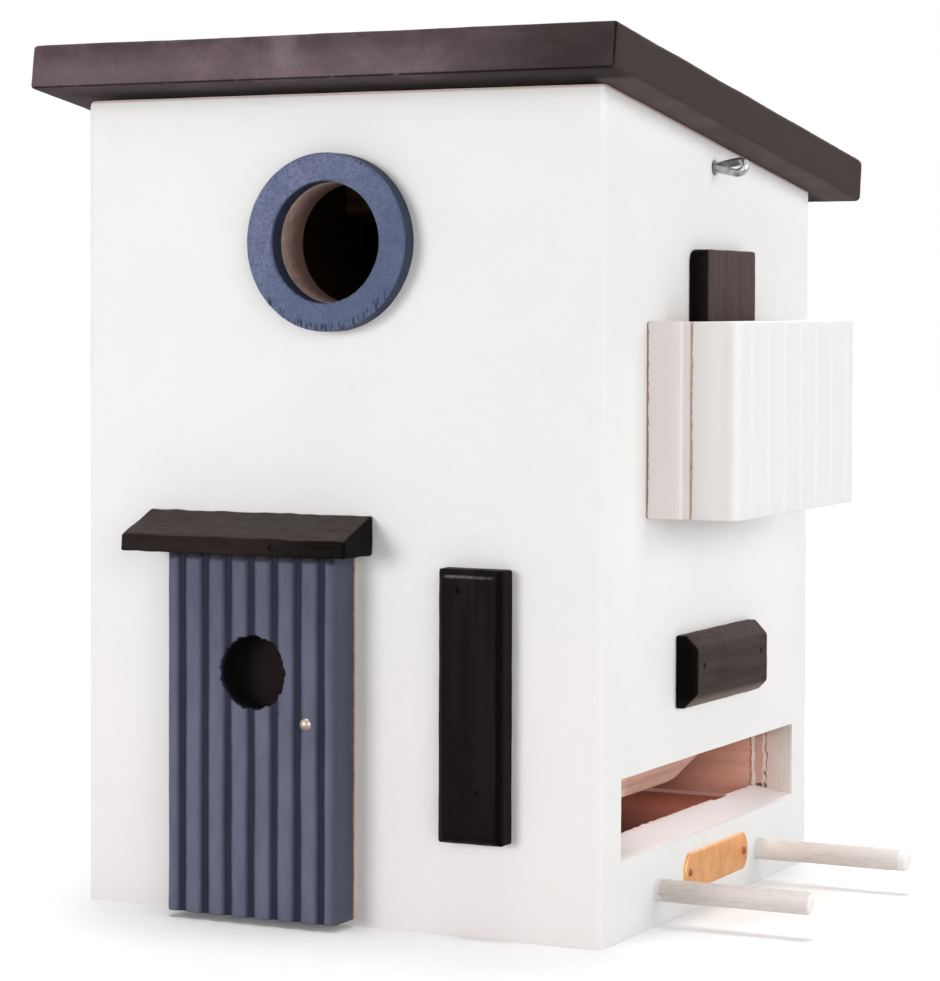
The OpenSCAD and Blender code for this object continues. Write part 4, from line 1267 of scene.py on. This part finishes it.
place, size = seat("side_window", RIGHT)
dents = [(5.7, 11.3), (size[0] - 5.7, 11.3)]
skin = holed_block(size, 0.3, (0.7, 0.4, 0.6), dents, DENT_SQUARE, 8, NAIL_DENT)
points = round_plan(skin.points(), size, 1.5, 0, 2, both=False)
share = points[:, 0] / size[0]
planed = np.where(points[:, 1] < size[1] / 2, 4.0 - 1.5 * share, 3.4 + 0.3 * share)
points = round_plan(bevel(points, size, [(1, planed)], 0.3), size, 1.0, 0, 1)
fit("side_window", skin, place, bar_coat, ripple(points, 9, 0.05, 11))

# %% [markdown]
# ## The balcony
# Two short cheeks carry a ribbed board with broadly rounded ends, all in the white of the walls but
# thinner over the cheeks' end grain. Shade is painted in: the board is a little darker than the
# walls, darker still over its rounded front and at its near end, and the cheeks carry a painted
# highlight along a paint ridge and painted shade beside the gap. The door behind it is a dark strip
# with rounded corners, its near edge painted black as shade.

# %% Balcony pieces
SEAM_WOOD = (0.44, 0.25, 0.19)
balcony_x, balcony_near, _ = box("balcony_front")[0]
door_near = box("balcony_door")[0, 1]


def painted_from(start):
    """Paint everywhere except a ragged line of raw wood where the piece meets what is behind it."""
    return lambda f: (f.x - start + (f.noise(1.8, 3, 0.65) - 0.5) * 1.2).over(0.35, 0.7)


# painted shade: the door's near edge is black
balcony_door_coat = trim_finish(
    "balcony_door_paint", 2, 23.0, (0.065, 0.043, 0.040), (0.086, 0.060, 0.056),
    [(1, door_near + 2.5, door_near + 1.3, 0.95, BLACK)], 0.03)
# the cheeks: a pinker thin coat, a painted highlight along a paint ridge, and painted shade beside the gap
cheek_paint = painted_board("cheek_paint", painted_from(right_x), Z, tint=SEAM_WOOD, shift=5.0, shades=[
    (0, right_x, right_x + 1, 1, (0.87, 0.81, 0.785)),
    (0, balcony_x - 3.2, balcony_x - 2.8, 0.7, (0.93, 0.91, 0.90)),
    (0, balcony_x - 2.4, balcony_x - 1.7, 1, (0.74, 0.67, 0.64))])
# painted shade: the board darker than the walls, more over its rounded front and at its near end
balcony_paint = painted_board("balcony_paint", painted_from(balcony_x), Y, tint=SEAM_WOOD, shift=6.0, shades=[
    (0, balcony_x, balcony_x + 1, 1, (0.81, 0.805, 0.795)),
    (0, balcony_x + 8, balcony_x + 12, 1, (0.840, 0.837, 0.829)),
    (1, balcony_near + 2.2, balcony_near + 0.4, 0.9, (0.66, 0.635, 0.62))])

place, size = seat("balcony_door", RIGHT, (-0.8, 0, 0), (1.7, -0.3, 0))
skin = block(size, 0.6, (0.7, 0.7, 0.7))
points = round_plan(round_plan(skin.points(), size, 3.2, 0, 2, both=False), size, 3.4, 0, 1)
fit("balcony_door", skin, place, balcony_door_coat, ripple(points, 11, 0.05, 12))

for cheek in ("balcony_cheek_front", "balcony_cheek_back"):
    plain_board(cheek, RIGHT, cheek_paint, 0.7, 3)

place, size = seat("balcony_front", RIGHT, more=(1.0, 0, 0))
skin = block(size, 0.5, (0.45, 3, 0.8))
points = round_plan(skin.points(), size, 5.5, 0, 2, both=False)
points[:, 1] += 0.6 * points[:, 0] / size[0]
points = grooves(points, np.linspace(9.6, size[0] - 10.6, 7), 0.6 * GROOVE_DEPTH, size[2])
fit("balcony_front", skin, place, balcony_paint, ripple(points, 24, 0.05, 13))

# %% [markdown]
# ## Perches
# Two dowels, whitewashed so thinly that the fibres show through, with a collar of thicker paint where
# they leave the sill and a chamfer at the tip.

# %% Perches
perch_low, perch_high = box("perch_front")
perch_reach = perch_high[0]
perch_axis = (perch_low[2] + perch_high[2]) / 2


def perch_finish(name, tint, fibre, shift):
    """Thin whitewash with darker fibres, painted lighter below as light reflected from the floor, and thicker
    at the tip and in the collar.
    """
    f = Finish(name, Specular_IOR_Level=0.3)
    grain = f.noise((5, 0.45, 0.45), 4, 0.7, shift)
    patch = f.noise((9, 3, 3), 3, 0.5, shift + 2)
    below = (perch_axis - f.z).over(0, 4.5)
    collar = (f.x + (patch - 0.5) * 3).over(right_x + 2.2, right_x + 0.8)
    tone = f.coats(
        tint,
        (grain.over(0.45, 0.68) * (0.15 + 0.45 * patch.over(0.3, 0.65)), fibre),
        # painted light reflected from the floor on the underside
        (below.larger(f.x.over(right_x + 15, perch_reach) * 0.3), (0.86, 0.80, 0.775)),
        (f.x.over(perch_reach - 0.35, perch_reach - 0.1), (0.95, 0.92, 0.905)),
        (collar, (0.86, 0.85, 0.84)))
    return f.done(tone, 0.55 + 0.2 * grain, grain * 0.16 + patch * 0.2)


def perch(name, finish, seed):
    """A dowel turned about its own axis, with a chamfered tip and a slightly wavering radius."""
    place, size = seat(name, RIGHT)
    radius, chamfer = size[0] / 2, 0.8
    profile = [(0, 0), (radius - 0.3, 0), (radius, 0.3),
               *((radius, h) for h in np.arange(2, size[2] - chamfer - 1, 1.5)),
               (radius, size[2] - chamfer), (radius - 0.35, size[2] - 0.3), (radius - chamfer, size[2]),
               (1.1, size[2] - 0.05), (0, size[2])]

    def waver(angle, height):
        return 0.03 * np.sin(2 * angle + 0.2 * height + seed) - 0.03 + 0.015 * np.sin(9 * angle + seed)

    skin = Skin().wrap(turned(profile, 48, waver))
    fit(name, skin, place.moved(radius, radius, 0), finish)


# the one whitewash is tinted darker on the front dowel and lighter on the back one, painted shade and painted
# light that even out the light on them
perch("perch_front", perch_finish("front_dowel", (0.67, 0.60, 0.56), (0.40, 0.33, 0.34), 0.0), 1)
perch("perch_back", perch_finish("back_dowel", (0.88, 0.82, 0.77), (0.62, 0.52, 0.46), 13.0), 2)

# %% [markdown]
# ## The plate
# A bare copper-coloured plate with bulging ends, brushed across its height and held by two pins. Its
# outline is one loop of points: two straight edges and two flat arcs. Copies of the loop, drawn
# towards the middle, make the face, and the last ring turns over the edge.

# %% Plate and pins
def plate_finish():
    """Copper with brush lines up its height."""
    f = Finish("copper_plate", Metallic=0.85)
    brushed = f.noise((8, 0.7, 6), 4, 0.7)
    cloud = f.noise(7, 3, 0.5, 3.0)
    tone = f.coats((1.0, 0.53, 0.215), (cloud.over(0.3, 0.7), (0.90, 0.43, 0.17)),
                   (brushed.over(0.5, 0.66) * 0.55, (0.70, 0.26, 0.085)))
    return f.done(tone, 0.26 + 0.2 * brushed, brushed * 0.09)


BULGE, PLATE_EDGE = 3.2, 0.22
plate_place, (plate_length, plate_height, thick) = seat("name_plate", RIGHT)
half_high = plate_height / 2
end_radius = (half_high ** 2 + BULGE ** 2) / (2 * BULGE)
end_turn = math.asin(half_high / end_radius)


def plate_outline(inset):
    """Loop round the plate, drawn inwards by inset: bulging right end, top edge, left end, lower edge."""
    turn = np.linspace(-end_turn, end_turn, 17)
    reach = plate_length / 2 - end_radius
    right_end = (end_radius - inset) * np.stack([np.cos(turn), np.sin(turn)], 1) + (reach, 0)
    right_end[:, 1] = np.clip(right_end[:, 1], inset - half_high, half_high - inset)
    edge = np.linspace(0, 1, 26)[1:-1, None]
    top = right_end[-1] * (1 - edge) + right_end[-1] * (-1, 1) * edge
    half_loop = np.concatenate([right_end, top])
    return np.concatenate([half_loop, -half_loop])


plate_rows = [(plate_outline(0.1) * s, 0) for s in (0, 0.3, 0.6, 0.85, 1)] + [(plate_outline(0), 0.1)]
plate_rows += [(plate_outline(-inset), level) for inset, level in lip(0, thick, -PLATE_EDGE, 1)[::-1]]
plate_rows += [(plate_outline(PLATE_EDGE) * s, thick) for s in (0.9, 0.7, 0.5, 0.3, 0)]
plate_skin = Skin().wrap(stacked(plate_rows))
fit("name_plate", plate_skin, plate_place.moved(plate_length / 2, half_high, 0), plate_finish())

HEAD_RADIUS, HEAD_HEIGHT = 1.1, 0.55
place, size = seat("plate_pins", RIGHT)
base = size[2] - HEAD_HEIGHT
profile = [(0, 0), (0.5, 0.4), (0.7, 1.4), (0.7, base), (HEAD_RADIUS - 0.05, base),
           *dome(HEAD_RADIUS, base, HEAD_HEIGHT, 7), (0, size[2])]
skin = Skin()
for u in (HEAD_RADIUS, size[0] - HEAD_RADIUS):
    skin.wrap(turned(profile, 32) + np.array([u, HEAD_RADIUS, 0]))
pin_copper = metal_finish("pin_copper", (0.33, 0.115, 0.042), (0.20, 0.066, 0.022), 0.4, 0.6)
fit("plate_pins", skin, place, pin_copper)

# %% [markdown]
# ## Split pins
# The hanging wire runs through the eyes of two split pins. Each is one half-round wire: up from an
# open leg inside the wall, out through the hole, round the eye and back the same way. The half-round
# section, flat side inwards, is carried along that path.

# %% Split pins
PIN_TURN, PIN_SLANT = math.radians(32), math.radians(14)
WIRE, EYE, INNER_BEND = 1.4, 1.55, 0.6
LEG_LENGTH, LEG_GAP, HOLE_GAP = 4.0, 0.05, 0.04
OUTER_BEND = WIRE + INNER_BEND
eye_x = box("split_pin_right")[1, 0] - right_x - EYE - WIRE
mouth_x = eye_x - (EYE + OUTER_BEND * (1 - math.cos(PIN_SLANT))) / math.sin(PIN_SLANT)


def arc(centre, radius, start, end, count):
    """Points and headings' left sides on an arc; start and end are angles seen from the centre."""
    angle = np.linspace(start, end, count)
    away = np.stack([np.cos(angle), np.sin(angle)], 1)
    return np.array(centre) + radius * away, away if end < start else -away


def pin_path():
    """Upper half from the open leg's tip to the top of the eye, then its mirror image."""
    bend_x = INNER_BEND - LEG_GAP - wall_thick
    leg_top = LEG_LENGTH + OUTER_BEND
    leg = [[bend_x - OUTER_BEND, leg_top], [bend_x - OUTER_BEND, (leg_top + OUTER_BEND) / 2]]
    straight = np.linspace(bend_x, mouth_x, 8)[1:-1]
    pieces = [
        (np.array(leg), np.tile([1.0, 0], (2, 1))),
        arc((bend_x, OUTER_BEND), OUTER_BEND, math.pi, 1.5 * math.pi, 9),
        (np.stack([straight, 0 * straight], 1), np.tile([0.0, 1], (6, 1))),
        arc((mouth_x, OUTER_BEND), OUTER_BEND, -math.pi / 2, -math.pi / 2 + PIN_SLANT, 4),
        arc((eye_x, 0), EYE, math.pi / 2 + PIN_SLANT, 0, 15)]
    points, sides = (np.concatenate(part) for part in zip(*pieces))
    points[:, 1] += HOLE_GAP * (points[:, 0] < eye_x - EYE)
    return [np.concatenate([part, part[-2::-1] * (1, -1)]) for part in (points, sides)]


def split_pin(name, outwards):
    """Carries the half-round section along the path, and closes both tips."""
    path, side = pin_path()
    angle = np.linspace(-math.pi / 2, math.pi / 2, 13)
    round_part = np.stack([WIRE * np.cos(angle), WIRE * np.sin(angle)], 1)
    flat_part = np.stack([np.zeros(5), np.linspace(WIRE, -WIRE, 7)[1:-1]], 1)
    section = np.concatenate([round_part, flat_part])
    rows = np.empty((len(path), len(section), 3))
    rows[..., :2] = path[:, None] + side[:, None] * section[None, :, :1]
    rows[..., 2] = section[None, :, 1]
    tips = [rows[end].mean(axis=0) + 0 * rows[end] for end in (0, -1)]
    skin = Skin().wrap(np.concatenate([tips[0][None], rows, tips[1][None]]))
    lean = np.array([0, math.sin(PIN_TURN), math.cos(PIN_TURN)])
    fit(name, skin, Place((outwards[0] * right_x, 0, pin_z), outwards, lean), zinc)


split_pin("split_pin_right", X)
split_pin("split_pin_left", -X)

# %% [markdown]
# ## Nails
# The nails are already the right shape, and all but the heads of the finishing nails are buried in
# the wood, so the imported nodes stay. The finishing nails were painted over with the trim, and the
# others get a steel finish.

# %% Finish the nails and close
for node in ("wall_nails", "rail_nails", "batten_nails", "trim_brads", "canopy_brad"):
    nail_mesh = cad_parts[node].data
    nail_mesh.materials.clear()
    nail_mesh.materials.append(painted_nail if "brad" in node else steel)

print(len(fitted), "pieces fitted")
